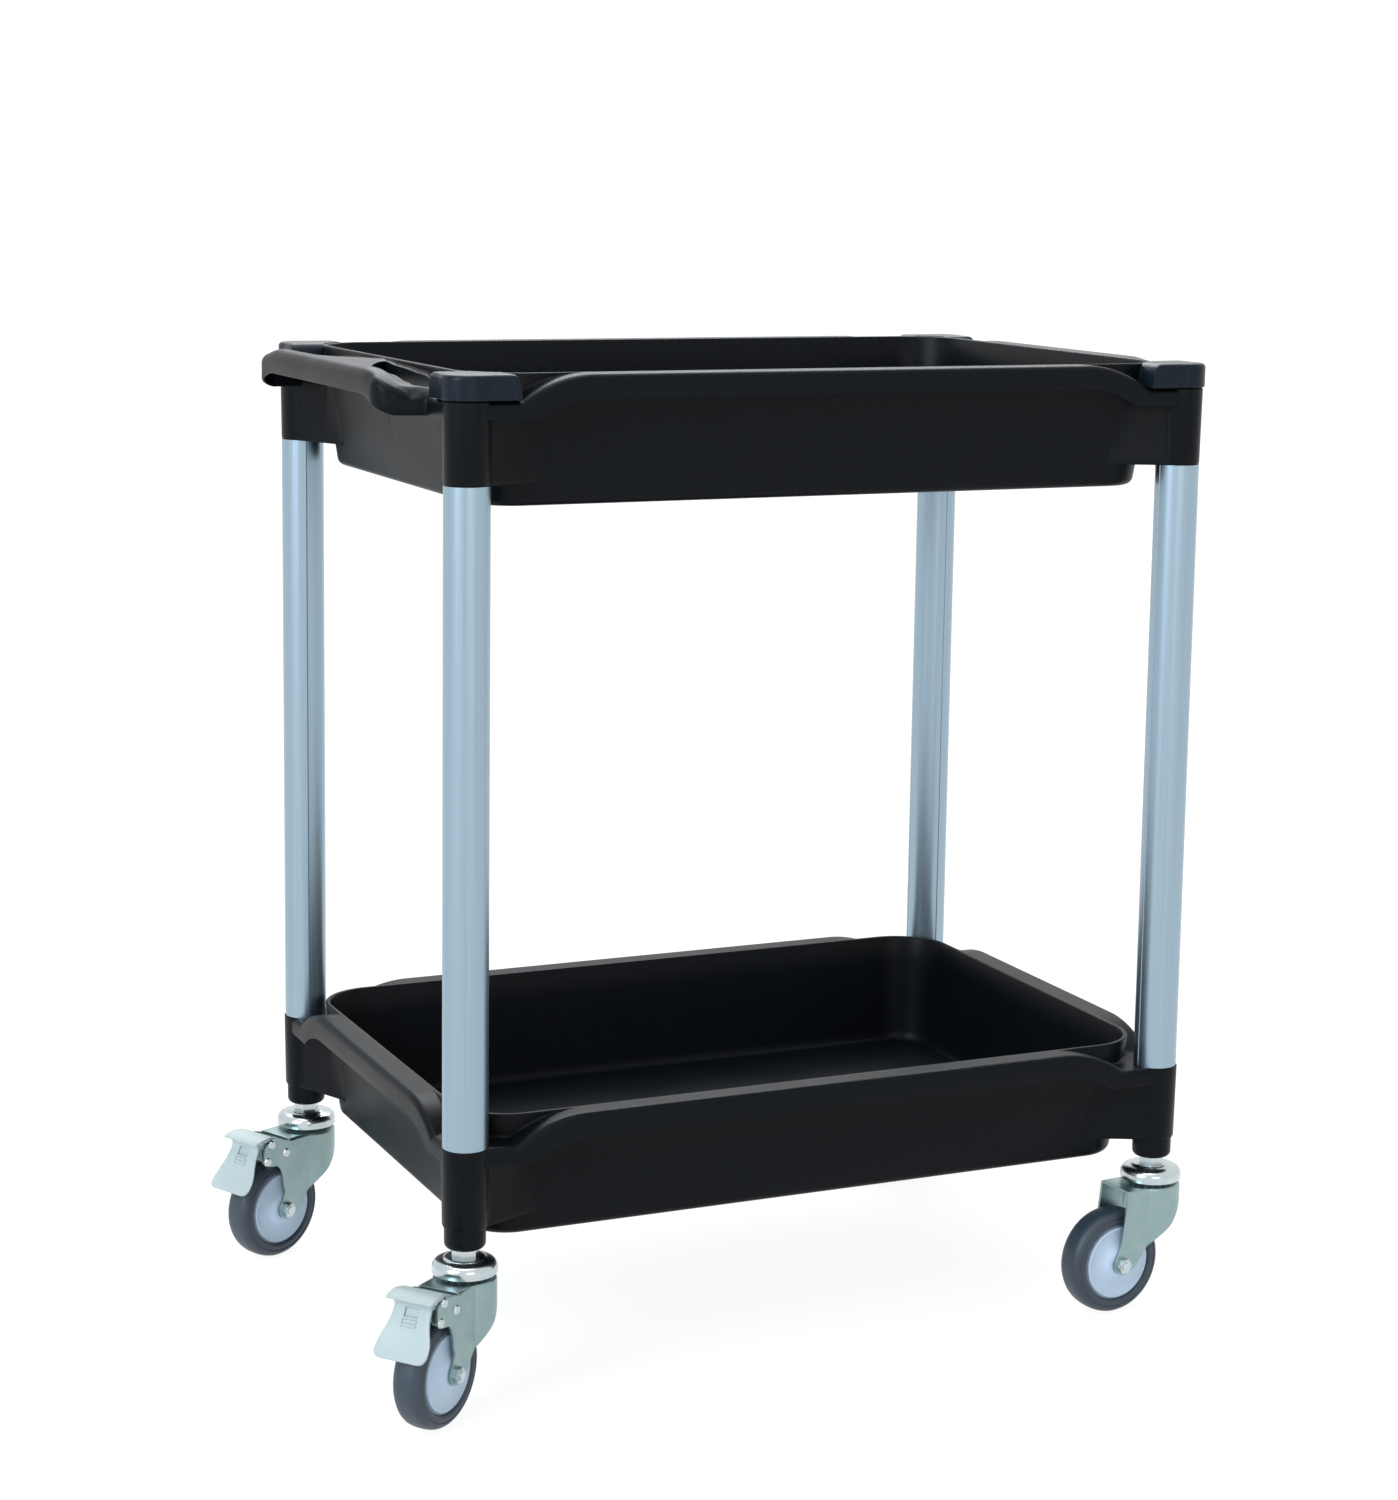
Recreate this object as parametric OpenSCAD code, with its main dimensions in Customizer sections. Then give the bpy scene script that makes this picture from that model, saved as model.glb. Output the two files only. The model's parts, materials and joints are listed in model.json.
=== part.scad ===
// Two-tier utility cart: two moulded trays on four tube legs and four swivel casters.
// Lengths are in millimetres. +X runs along the cart away from the handle, +Z is up.

/* [Cart] */
// Distance between leg axes along the cart
leg_span_x = 695; // [620:5:800]
// Distance between leg axes across the cart
leg_span_y = 460; // [400:5:560]
// Rise from the lower deck to the upper deck
deck_rise = 641; // [450:1:760]

/* [Trays] */
// Depth of a basin below its deck
basin_drop = 92; // [75:1:130]
// Height of the rim above the deck
rim_h = 22; // [18:0.5:26]
// Width of the rim on the long sides, from basin edge to outer face
rim_w_side = 25.5; // [24:0.5:32]
// Width of the rim on the ends
rim_w_end = 27.5; // [25:0.5:34]
// Wall thickness of the basins
basin_wall = 4.5; // [3.5:0.1:6]
// Inner corner radius of the basins at the rim
basin_corner_r = 50; // [40:1:60]
// Inward draft of the basin wall from rim to floor
basin_draft = 13.5; // [6:0.5:16]
// Length of the corner columns below the upper deck
column_h = 70.5; // [60:0.5:74]
// Plan length of the wave that lowers the rim towards a corner
wave_len = 66; // [50:1:80]

/* [Handle] */
// Reach of the handle beyond the leg axes
handle_reach = 61; // [56:0.5:75]
// Half length of the straight part of the handle
handle_straight = 157; // [140:1:160]
// Width of the hand holes
hole_w = 29; // [24:0.5:29]
// Distance of the hand holes' narrow ends from the middle
hole_tip = 70; // [50:1:85]

/* [Tubes] */
// Outer diameter of the leg tubes
tube_d = 40; // [36:0.5:40]
// Wall thickness of the leg tubes
tube_wall = 2; // [1.5:0.1:3]

/* [Casters] */
// Wheel diameter
wheel_d = 100; // [90:1:110]
// Width of the tyre
tyre_w = 29.2; // [24:0.2:31]
// Distance from the swivel axis back to the axle
trail = 46.4; // [44:0.2:52]
// Diameter of the threaded stem
stem_d = 12; // [10:1:14]
// Diameter of the swivel head
head_d = 57.5; // [54:0.5:60]

/* [Brakes] */
// Width of the pedal at its lower edge
pedal_w = 53; // [46:1:60]

/* [Hidden] */
$fn = 64;
lx = leg_span_x / 2;
ly = leg_span_y / 2;

// Plan offset that puts the origin in the middle of the whole outline
plan_shift = [36, 28.5];

// Name, leg signs, trail direction and brake of each corner
corners = [
  ["front_left", -1, -1, 217.5, true],
  ["front_right", 1, -1, 186.0, false],
  ["back_left", -1, 1, 205.8, true],
  ["back_right", 1, 1, 195.0, false],
];

// Caster heights
wheel_r = wheel_d / 2;
crown_z = wheel_d + 21;
head_rim_z = crown_z + 3;
head_top_z = crown_z + 17;
collar_h = 8;
caster_h = head_top_z + collar_h;
running = 0.06;

// Tray heights and shell sizes
boss_h = 19.5;
deck_lower = caster_h + column_h + boss_h;
deck_upper = deck_lower + deck_rise;
column_r = tube_d / 2 + 1;
column_foot_r = tube_d / 2;
spigot_r = tube_d / 2 - tube_wall - 0.2;
spigot_h = 8;
rim_out = 18;
bar_w = 34;
bar_end_r = 20;
bar_end_lean = 4;
hole_past = 18;
scoop_r = 20;
scoop_floor = 10;
plate_t = 3.5;
skirt_t = 3;
skirt_low = 16;
floor_t = 4;
foot_fillet = 8;
rim_fillet = 6;
kink_x = 43;
kink_y = 38;

// Basin: centres of the corner arcs and outer radius by height above the deck
arc_x = lx + rim_out - rim_w_end - basin_corner_r;
arc_y = ly + rim_out - rim_w_side - basin_corner_r;
function outer_r(z) = basin_corner_r + basin_wall
  - basin_draft * (rim_h - z) / (rim_h + basin_drop);
function inner_r(z) = outer_r(z) - basin_wall;

// Wave of the rim: one circle that leaves the straight rim tangentially
wave_r = (wave_len * wave_len + rim_h * rim_h) / (2 * rim_h);
wave_angle = asin(wave_len / wave_r);

// Tube inserts and the bolts under the caps
insert_r = tube_d / 2 - tube_wall - 0.1;
insert_h = 30;
cap_bolt_r = 4;
counterbore_r = 10.7;
counterbore_h = 30;
cap_h = 22.5;
cap_r = 22.5;

// Fork
sheet = 2.5;
fork_out = tyre_w / 2 + 6.9;
fork_in = fork_out - sheet;
crown_r = 28;
axle_r = 4;
sleeve_r = 6;
hub_rim_r = wheel_r - 14;
pin_r = 3;
pivot = [66, crown_z - 1];
rivet_a = [47, crown_z - 13];
rivet_b = [71.5, crown_z - 17];

// Brake: nose of the cam measured from the pivot
to_axle = [trail - pivot[0], wheel_r - pivot[1]];
pivot_to_axle = norm(to_axle);
nose_reach = pivot_to_axle - wheel_r - 0.4;
nose_lead = 13;

function arc(cx, cy, r, a0, a1, n) =
  [for (i = [0:n]) [cx + r * cos(a0 + (a1 - a0) * i / n), cy + r * sin(a0 + (a1 - a0) * i / n)]];
function turned(p, a) = [p[0] * cos(a) - p[1] * sin(a), p[0] * sin(a) + p[1] * cos(a)];
function unit(v) = v / norm(v);
function inward(a, b, t) = t * [-unit(b - a)[1], unit(b - a)[0]];
function flipped(pts) = [for (i = [len(pts) - 1:-1:0]) [-pts[i][0], pts[i][1]]];
function moved(pts, d) = [for (p = pts) p + d];
function snapped(pts) = [for (p = pts) [round(p[0] * 1000) / 1000, round(p[1] * 1000) / 1000]];
function is_braked(c) = c[4];

// Placing

module on_cart(z = 0) {
  translate([plan_shift[0], plan_shift[1], z]) children();
}

module at_leg(c, z = 0) {
  on_cart(z) translate([c[1] * lx, c[2] * ly, 0]) children();
}

// Leg frame with the basin towards +X and +Y
module each_leg() {
  for (c = corners)
    translate([c[1] * lx, c[2] * ly, 0])
      mirror([c[1] > 0 ? 1 : 0, 0, 0]) mirror([0, c[2] > 0 ? 1 : 0, 0])
        children();
}

module at_caster(c) {
  at_leg(c) rotate([0, 0, c[3]]) children();
}

// Sideways extrusion of a profile drawn in trail and height
module side_plate(y0, y1) {
  translate([0, y1, 0]) rotate([90, 0, 0]) linear_extrude(y1 - y0) children();
}

// Basins

module slab(pts, half, reach) {
  right = moved(pts, [half, 0]);
  rotate([90, 0, 0])
    translate([0, 0, -reach]) linear_extrude(2 * reach) polygon(concat(right, flipped(right)));
}

module basin_form(pts) {
  for (q = [[1, 1, 0], [-1, 1, 90], [-1, -1, 180], [1, -1, 270]])
    translate([q[0] * arc_x, q[1] * arc_y, 0])
      rotate([0, 0, q[2]]) rotate_extrude(angle = 90) polygon(pts);
  slab(pts, arc_x, arc_y);
  rotate([0, 0, 90]) slab(pts, arc_y, arc_x);
}

// Profiles in whole microns, so that corners and straight walls share their edges
outer_pts = snapped(concat(
  [[0, -basin_drop]],
  arc(outer_r(-basin_drop) - foot_fillet, foot_fillet - basin_drop, foot_fillet, -90, -8, 5),
  [[outer_r(rim_h), rim_h], [0, rim_h]]
));
inner_pts = snapped(concat(
  [[0, floor_t - basin_drop]],
  arc(inner_r(-basin_drop) - 5, floor_t + 6 - basin_drop, 6, -90, -8, 4),
  [[inner_r(rim_h - 1.5), rim_h - 1.5], [inner_r(rim_h) + 1.2, rim_h + 0.5], [0, rim_h + 0.5]]
));

// Rim

module above_wave(half, kink, sink) {
  centre = half - kink - wave_len;
  for (m = [0, 1])
    mirror([m, 0])
      difference() {
        translate([centre, -sink]) square([half - centre + 40, rim_h + 10 + sink]);
        translate([centre, rim_h - wave_r]) circle(r = wave_r - sink, $fn = 180);
      }
}

module below_wave(half, kink) {
  centre = half - kink - wave_len;
  translate([-centre, -60]) square([2 * centre, 60]);
  for (s = [-1, 1])
    translate([s * centre, rim_h - wave_r]) circle(r = wave_r - rim_h, $fn = 180);
}

module rim_elevation(half, kink, sink, low) {
  difference() {
    translate([-half, -low]) square([2 * half, rim_h - sink + low]);
    above_wave(half, kink, sink);
    if (sink == 0) below_wave(half, kink);
  }
}

module rim_strip(half, kink, y0, y1, sink, low) {
  side_plate(y0, y1) rim_elevation(half, kink, sink, low);
}

module edge_gap(r) {
  difference() {
    translate([-r, -r]) square(r + 2);
    translate([-r, -r]) circle(r = r);
  }
}

// Cutter that rounds the outer top edge along the straight rim and both waves
module edge_cutter(half, kink, y_out, sink, r) {
  centre = half - kink - wave_len;
  rotate([90, 0, 90])
    translate([y_out, rim_h - sink, -centre]) linear_extrude(2 * centre) edge_gap(r);
  for (m = [0, 1])
    mirror([m, 0, 0])
      translate([centre, 0, rim_h - wave_r])
        rotate([-90, 0, 0]) rotate([0, 0, -90])
          rotate_extrude(angle = wave_angle, $fn = 180)
            translate([wave_r - sink, y_out]) rotate([0, 0, 90]) mirror([0, 1]) edge_gap(r);
}

// One side of the rim, basin towards -Y
module rim_side(half, kink, y_in) {
  difference() {
    rim_strip(half, kink, y_in, rim_out, 0, skirt_low);
    rim_strip(half + 5, kink + 5, y_in - 1, rim_out - skirt_t, plate_t, 70);
    edge_cutter(half, kink, rim_out, 0, rim_fillet);
  }
}

// Handle

// The bar ends in a round corner and a nearly square end face that leads back to the rim
function bar_end(t) = concat(
  [[ly + 1, rim_out - t], [handle_straight + bar_end_r + bar_end_lean - t, rim_out - t]],
  arc(handle_straight, handle_reach - bar_end_r, bar_end_r - t, 0, 90, 10)
);

module handle_outline(t) {
  polygon(concat([[ly + 1, -12]], bar_end(t), flipped(bar_end(t)), [[-ly - 1, -12]]));
}

module hand_hole(grow) {
  w = hole_w / 2;
  mid = handle_reach - bar_w - w;
  far = handle_straight + hole_past - w;
  for (m = [0, 1])
    mirror([m, 0]) {
      translate([far, mid]) circle(r = w + grow);
      polygon([
        [far, mid + w + grow],
        [hole_tip + 42, mid + w + grow],
        [hole_tip + 16, mid + w * 0.45 + grow],
        [hole_tip - grow, mid - w * 0.55],
        [hole_tip + 8, mid - w - grow],
        [far, mid - w - grow],
      ]);
    }
}

// Dish that falls from the top of the bar to the outer edge of each hand hole
module scoop(grow) {
  start = hole_tip + 25;
  end = handle_straight + 3;
  for (m = [0, 1])
    mirror([m, 0, 0])
      translate([0, handle_reach - bar_w, scoop_floor + scoop_r]) {
        for (y = [start, end])
          translate([y, 0, 0]) sphere(r = scoop_r + grow);
        translate([start, 0, 0]) rotate([0, 90, 0]) cylinder(r = scoop_r + grow, h = end - start);
      }
}

module handle() {
  inner_sink = plate_t;
  difference() {
    intersection() {
      rim_strip(ly, kink_y, 1 - rim_w_end + rim_out, handle_reach, 0, skirt_low);
      translate([0, 0, -60]) linear_extrude(120) handle_outline(0);
    }
    difference() {
      intersection() {
        rim_strip(ly + 5, kink_y + 5, -rim_w_end + rim_out, handle_reach, inner_sink, 70);
        translate([0, 0, -80]) linear_extrude(140) handle_outline(skirt_t);
      }
      translate([0, 0, 4]) linear_extrude(60) hand_hole(2.5);
      edge_cutter(ly, kink_y, handle_reach - skirt_t, inner_sink, 9);
      scoop(plate_t);
    }
    edge_cutter(ly, kink_y, handle_reach, 0, 12);
    translate([0, 0, -60]) linear_extrude(120) hand_hole(0);
    scoop(0);
  }
}

// Corner columns and webs

front_a = [0, -column_r + 0.5];
front_b = [76, 15.8];
side_a = [-column_r + 0.5, 0];
side_b = [16, 76];

module web_outline(t) {
  f = inward(front_a, front_b, t);
  s = -inward(side_a, side_b, t);
  polygon([front_a + f, front_b + f, [59.5, 57.5], side_b + s, side_a + s]);
}

module column_form() {
  translate([0, 0, -column_h]) cylinder(r1 = column_foot_r, r2 = column_r, h = column_h);
}

// Column, web and deck plate of one leg, in the leg frame
module corner() {
  column_form();
  difference() {
    translate([0, 0, -column_h]) linear_extrude(column_h) web_outline(0);
    difference() {
      translate([0, 0, -column_h - 1]) linear_extrude(column_h + 1 - plate_t) web_outline(3);
      column_form();
      translate([lx - arc_x, ly - arc_y, -basin_drop])
        cylinder(r1 = outer_r(-basin_drop) - 2, r2 = outer_r(0), h = basin_drop);
    }
  }
  translate([0, 0, -plate_t]) cube([60, 58, plate_t]);
}

module tray_shell(with_handle) {
  rim_y_in = 1 + rim_out - rim_w_side;
  rim_x_in = 1 + rim_out - rim_w_end;
  basin_form(outer_pts);
  translate([0, ly, 0]) rim_side(lx, kink_x, rim_y_in);
  translate([0, -ly, 0]) rotate([0, 0, 180]) rim_side(lx, kink_x, rim_y_in);
  translate([lx, 0, 0]) rotate([0, 0, -90]) rim_side(ly, kink_y, rim_x_in);
  translate([-lx, 0, 0])
    rotate([0, 0, 90])
      if (with_handle) handle();
      else rim_side(ly, kink_y, rim_x_in);
  each_leg() corner();
}

boss_pts = concat(
  [[0, 0.01]],
  [[18.2, 0.01]],
  arc(12.8, 5 - boss_h, 5, 0, -90, 4),
  [[0, -boss_h]]
);

module upper_tray() {
  color("#1b1f25")
    on_cart(deck_upper) difference() {
      union() {
        tray_shell(true);
        each_leg() translate([0, 0, -column_h - spigot_h]) cylinder(r = spigot_r, h = spigot_h + 1);
      }
      basin_form(inner_pts);
      each_leg() {
        translate([0, 0, -column_h - spigot_h - 1]) cylinder(r = cap_bolt_r + 0.3, h = 100);
        translate([0, 0, -counterbore_h]) cylinder(r = counterbore_r, h = counterbore_h + 1);
      }
    }
}

module lower_tray() {
  color("#1b1f25")
    on_cart(deck_lower) difference() {
      union() {
        tray_shell(false);
        each_leg() {
          translate([0, 0, -column_h]) rotate_extrude() polygon(boss_pts);
          translate([0, 0, -1]) cylinder(r = spigot_r, h = spigot_h + 1);
        }
      }
      basin_form(inner_pts);
      each_leg() translate([0, 0, -column_h - boss_h - 1]) cylinder(r = stem_d / 2 + 0.2, h = 110);
    }
}

// Caps

cap_edge = concat([[0, 0]], [[cap_r, 0]], arc(cap_r - 4, cap_h - 4, 4, 0, 90, 4), [[0, cap_h]]);

module cap_arm(len) {
  face = 21;
  back = 9;
  profile = concat(
    [[-face, 0], [back, 0], [back, cap_h]],
    arc(4 - face, cap_h - 4, 4, 90, 180, 4)
  );
  difference() {
    rotate([90, 0, 90]) linear_extrude(len) polygon(profile);
    translate([len, -50, 6]) rotate([0, -28, 0]) cube([40, 100, 60]);
  }
}

module cap_form() {
  rotate_extrude() polygon(cap_edge);
  cap_arm(kink_x - 1);
  mirror([1, -1, 0]) cap_arm(kink_y - 1);
  cube([26, 26, cap_h]);
}

module corner_cap(c) {
  color("#15181d")
    at_leg(c, deck_upper)
      mirror([c[1] > 0 ? 1 : 0, 0, 0]) mirror([0, c[2] > 0 ? 1 : 0, 0]) {
        difference() {
          cap_form();
          translate([lx - arc_x, ly - arc_y, -0.5]) cylinder(r = outer_r(rim_h) + 0.4, h = 40);
          translate([0, 0, -1]) cylinder(r = 17, h = 18);
        }
        difference() {
          translate([0, 0, -8]) cylinder(r = counterbore_r - 0.2, h = cap_h - 1);
          translate([0, 0, -9]) cylinder(r = counterbore_r - 2.7, h = cap_h - 3);
        }
      }
}

// Tubes and their hidden fastening

module tube(c) {
  tube_h = deck_rise - column_h;
  color("#a9bccb")
    at_leg(c, deck_lower) difference() {
      cylinder(r = tube_d / 2, h = tube_h);
      translate([0, 0, -1]) cylinder(r = tube_d / 2 - tube_wall, h = tube_h + 2);
      for (a = [-52, 52])
        rotate([0, 0, atan2(-c[2], -c[1]) + a])
          translate([tube_d / 2 + 0.2, 0, -1])
            linear_extrude(tube_h + 2) polygon([[0, -0.75], [0, 0.75], [-1, 0]]);
    }
}

module insert(bore) {
  difference() {
    cylinder(r = insert_r, h = insert_h);
    translate([0, 0, -1]) cylinder(r = bore + 0.05, h = insert_h + 2);
  }
}

module upper_inserts() {
  color("#3c4046")
    for (c = corners)
      at_leg(c, deck_upper - column_h - spigot_h - insert_h) insert(cap_bolt_r);
}

module lower_inserts() {
  color("#3c4046")
    for (c = corners)
      at_leg(c, deck_lower + spigot_h) insert(stem_d / 2);
}

module cap_bolts() {
  shank = column_h + spigot_h + insert_h - counterbore_h - 3;
  color("#b8bcc0")
    for (c = corners)
      at_leg(c, deck_upper - counterbore_h) difference() {
        union() {
          translate([0, 0, -shank]) cylinder(r = cap_bolt_r, h = shank + 1);
          cylinder(r = 6.5, h = 8);
        }
        translate([0, 0, 4]) cylinder(r = 3.4, h = 5, $fn = 6);
      }
}

// Casters: fixed pieces

module caster_stems() {
  rivet_z = crown_z - sheet - 3.8;
  color("#c3c9cc")
    for (c = corners)
      at_leg(c) {
        translate([0, 0, rivet_z]) cylinder(r = 11, h = 3.5);
        translate([0, 0, rivet_z]) cylinder(r = stem_d / 2, h = deck_lower + 30 - rivet_z);
        translate([0, 0, head_top_z]) cylinder(r = 12.1, h = collar_h, $fn = 6);
      }
}

module swivel_head(c) {
  r = head_d / 2;
  race_z = crown_z + 4.4;
  profile = concat(
    [
      [stem_d / 2 + 0.05, crown_z + 0.4],
      [13, crown_z + 0.4],
      [13, race_z],
      [r - 2.6, race_z],
      [r - 2.6, head_rim_z],
      [r, head_rim_z],
      [r, head_rim_z + 5],
    ],
    arc(r - 6, head_rim_z + 5, 6, 15, 60, 3),
    [[20, head_top_z - 0.6], [15, head_top_z], [stem_d / 2 + 0.05, head_top_z]]
  );
  color("#c3c9cc") at_leg(c) rotate_extrude() polygon(profile);
}

// Casters: swivelling pieces

fork_front = [-crown_r - 2, crown_z - 9];
fork_foot = [trail - 19.4, wheel_r];
front_steps = [[0, 0], [0.175, -1], [0.42, -2], [0.667, 3.3], [0.842, 4.7], [1, 0]];
rear_edge = [
  [8.6, -2], [4.6, 8], [1.6, 17], [-0.4, 35], [-2.9, 54], [-4.4, 72],
];
ear_outline = [
  [trail - 4, wheel_r + 19],
  [trail + 2.6, wheel_r + 19],
  [52, crown_z - 34],
  [57.6, crown_z - 24],
  [66, crown_z - 23],
  [74, crown_z - 21],
  [76.5, crown_z - 16],
  [74.5, crown_z - 3],
  [71, crown_z + 2],
  [62, crown_z + 3],
  [44, crown_z - 1],
  [40, crown_z - 4],
];

module fork_profile(ears) {
  run = fork_foot - fork_front;
  front = [for (p = front_steps) fork_front + [p[0] * run[0], p[0] * run[1] + p[1]]];
  polygon(concat(
    [[fork_front[0], crown_z + 1]],
    front,
    [[trail - 13.5, wheel_r - 6], [trail - 5, wheel_r - 8.1], [trail + 5, wheel_r - 8.1]],
    moved(rear_edge, [trail, wheel_r])
  ));
  translate([trail, wheel_r]) circle(r = 9.5);
  if (ears) polygon(ear_outline);
}

module fork_plan(t) {
  circle(r = crown_r - t);
  translate([0, t - fork_out]) square([100, 2 * (fork_out - t)]);
}

module fork(c) {
  ears = is_braked(c);
  holes = ears ? [pivot, rivet_a, rivet_b] : [];
  color("#9fb0ad")
    at_caster(c) difference() {
      union() {
        intersection() {
          translate([0, 0, wheel_r - 12]) linear_extrude(crown_z - wheel_r + 18) difference() {
            fork_plan(0);
            translate([0, 0]) fork_plan(sheet);
            translate([99, -50]) square([10, 100]);
          }
          side_plate(-crown_r - 1, crown_r + 1) intersection() {
            fork_profile(ears);
            union() {
              translate([-50, 0]) square([100, crown_z]);
              translate([40, 0]) square([60, crown_z + 10]);
            }
          }
        }
        translate([0, 0, crown_z - sheet]) linear_extrude(sheet) intersection() {
          fork_plan(0);
          translate([-50, -50]) square([92, 100]);
        }
      }
      translate([0, 0, crown_z - 10]) cylinder(r = stem_d / 2 + running, h = 20);
      translate([trail, 0, wheel_r]) rotate([90, 0, 0]) cylinder(r = axle_r + 0.1, h = 80, center = true);
      for (p = holes)
        translate([p[0], 0, p[1]]) rotate([90, 0, 0]) cylinder(r = pin_r, h = 80, center = true);
    }
}

module bearing_balls(c) {
  ball_r = 2;
  color("#d8dde0")
    at_caster(c)
      for (i = [0:17])
        rotate([0, 0, i * 20]) translate([19.5, 0, crown_z + ball_r]) sphere(r = ball_r, $fn = 32);
}

module on_axle() {
  translate([trail, 0, wheel_r]) rotate([-90, 0, 0]) children();
}

module axle_bolt(c) {
  color("#ccd2d5")
    at_caster(c) on_axle() {
      translate([0, 0, -fork_out - 4.4]) cylinder(r = 7.5, h = 4.4, $fn = 6);
      translate([0, 0, -fork_out - 1]) cylinder(r = axle_r, h = 2 * fork_out + 7.5);
    }
}

module axle_nut(c) {
  color("#ccd2d5")
    at_caster(c) on_axle() translate([0, 0, fork_out]) difference() {
      union() {
        cylinder(r = 7.5, h = 4.4, $fn = 6);
        cylinder(r = 5.9, h = 5.6);
      }
      translate([0, 0, -1]) cylinder(r = axle_r + 0.05, h = 8);
    }
}

module axle_sleeve(c) {
  color("#b9bfc2")
    at_caster(c) on_axle() difference() {
      translate([0, 0, -fork_in]) cylinder(r = sleeve_r, h = 2 * fork_in);
      translate([0, 0, -fork_in - 1]) cylinder(r = axle_r + 0.1, h = 2 * fork_in + 2);
    }
}

// Wheels

module tyre(c) {
  half = tyre_w / 2;
  tread = concat(
    arc(wheel_r - 6.5, half - 6.5, 6.5, 55, 0, 3),
    arc(wheel_r - 6.5, 6.5 - half, 6.5, 0, -55, 3)
  );
  shoulders = [[wheel_r - 9, -half + 0.4], [hub_rim_r, -half + 1.2]];
  color("#59626c")
    at_caster(c) on_axle() rotate_extrude($fn = 96)
      polygon(concat(
        [[hub_rim_r, half - 1.2], [wheel_r - 9, half - 0.4]],
        [for (p = tread) p],
        shoulders
      ));
}

module hub(c) {
  half = tyre_w / 2 - 2.6;
  profile = [
    [sleeve_r + running, -half - 3.5],
    [10, -half - 3.5],
    [10.5, -4],
    [hub_rim_r - 5, -3],
    [hub_rim_r - 4, -half],
    [hub_rim_r, -half],
    [hub_rim_r, half],
    [hub_rim_r - 4, half],
    [hub_rim_r - 5, 3],
    [10.5, 4],
    [10, half + 3.5],
    [sleeve_r + running, half + 3.5],
  ];
  color("#8e98a8")
    at_caster(c) on_axle() rotate_extrude() polygon(profile);
}

module hub_covers(c) {
  base = tyre_w / 2 - 2.6;
  profile = [
    [10.2, base],
    [hub_rim_r - 1.8, base],
    [hub_rim_r - 1.8, base + 1.2],
    [hub_rim_r - 3.2, base + 2.2],
    [20, base + 2.6],
    [12.5, fork_in - 0.7],
    [sleeve_r + 0.5, fork_in - 0.7],
    [sleeve_r + 0.5, base + 3.5],
    [10.2, base + 3.5],
  ];
  color("#b5bed2")
    at_caster(c) on_axle()
      for (m = [0, 1])
        mirror([0, 0, m]) rotate_extrude() polygon(profile);
}

// Brakes

flap_front = 62;
paddle_top = [79, crown_z - 3];
paddle_foot = [104, crown_z - 44];

pedal_side = [
  [flap_front, crown_z + 3.9],
  [flap_front + 2, crown_z + 6.6],
  [74, crown_z + 8],
  [84, crown_z + 6.4],
  [87.5, crown_z + 4],
  [87, crown_z + 2.6],
  paddle_top + [3.2, 0],
  [89.5, crown_z - 19.5],
  [97, crown_z - 32.5],
  paddle_foot + [2.8, 1.2],
  paddle_foot + [1.6, -0.8],
  paddle_foot + [-0.6, -0.4],
  [94, crown_z - 31],
  [86.5, crown_z - 18],
  paddle_top + [-0.6, 0],
  [78, crown_z + 3.9],
];

module pedal_front_outline() {
  w = pedal_w / 2;
  foot = paddle_foot[1] - 2;
  polygon([
    [-24, crown_z + 12], [24, crown_z + 12], [24, crown_z + 1.5], [19, crown_z],
    [19, crown_z - 12], [w - 2, crown_z - 26], [w, crown_z - 34], [w - 1.5, foot + 4.5],
    [w - 7, foot], [7 - w, foot], [1.5 - w, foot + 4.5], [-w, crown_z - 34],
    [2 - w, crown_z - 26], [-19, crown_z - 12], [-19, crown_z], [-24, crown_z + 1.5],
  ]);
}

module pedal(c) {
  color("#c5cdc9")
    at_caster(c) difference() {
      union() {
        intersection() {
          side_plate(-40, 40) polygon(pedal_side);
          translate([50, 0, 0]) rotate([90, 0, 90]) linear_extrude(70) pedal_front_outline();
          translate([0, 0, 50]) linear_extrude(100) union() {
            translate([72, -40]) square([60, 80]);
            translate([flap_front, -21]) square([20, 42]);
            for (s = [-1, 1])
              translate([72, s * 14]) circle(r = 10);
          }
        }
        for (s = [-1, 1])
          side_plate(s * 15 - 3, s * 15 + 3) {
            translate(pivot) circle(r = 5.5);
            polygon([
              pivot + [-3, 3], pivot + [-2, 5.2], [80, crown_z + 4], paddle_top + [1, -2],
              pivot + [4, -3.5],
            ]);
          }
      }
      translate([pivot[0], 0, pivot[1]])
        rotate([90, 0, 0]) cylinder(r = pin_r + running, h = 80, center = true);
      translate([70, -5.5, crown_z - 14]) cube([30, 11, 9]);
    }
}

module brake_cam(c) {
  toward = unit(to_axle);
  nose = pivot + nose_reach * turned(toward, nose_lead);
  color("#aab4b6")
    at_caster(c) side_plate(-11.9, 11.9) difference() {
      union() {
        translate(pivot) circle(r = 4.6);
        polygon([
          pivot + [-4.5, 0], nose + [-5, 3.6], nose + [-2, 0.6], nose, nose + [3, 1.4],
          nose + [5.5, 5], pivot + [4.5, -1],
        ]);
      }
      translate(pivot) circle(r = pin_r + running);
    }
}

module rivet(p, r, half) {
  translate([p[0], 0, p[1]]) rotate([90, 0, 0]) {
    cylinder(r = r, h = 2 * half, center = true);
    for (m = [0, 1])
      mirror([0, 0, m]) translate([0, 0, fork_out]) cylinder(r1 = r + 1.5, r2 = r + 0.5, h = 1.6);
  }
}

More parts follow.
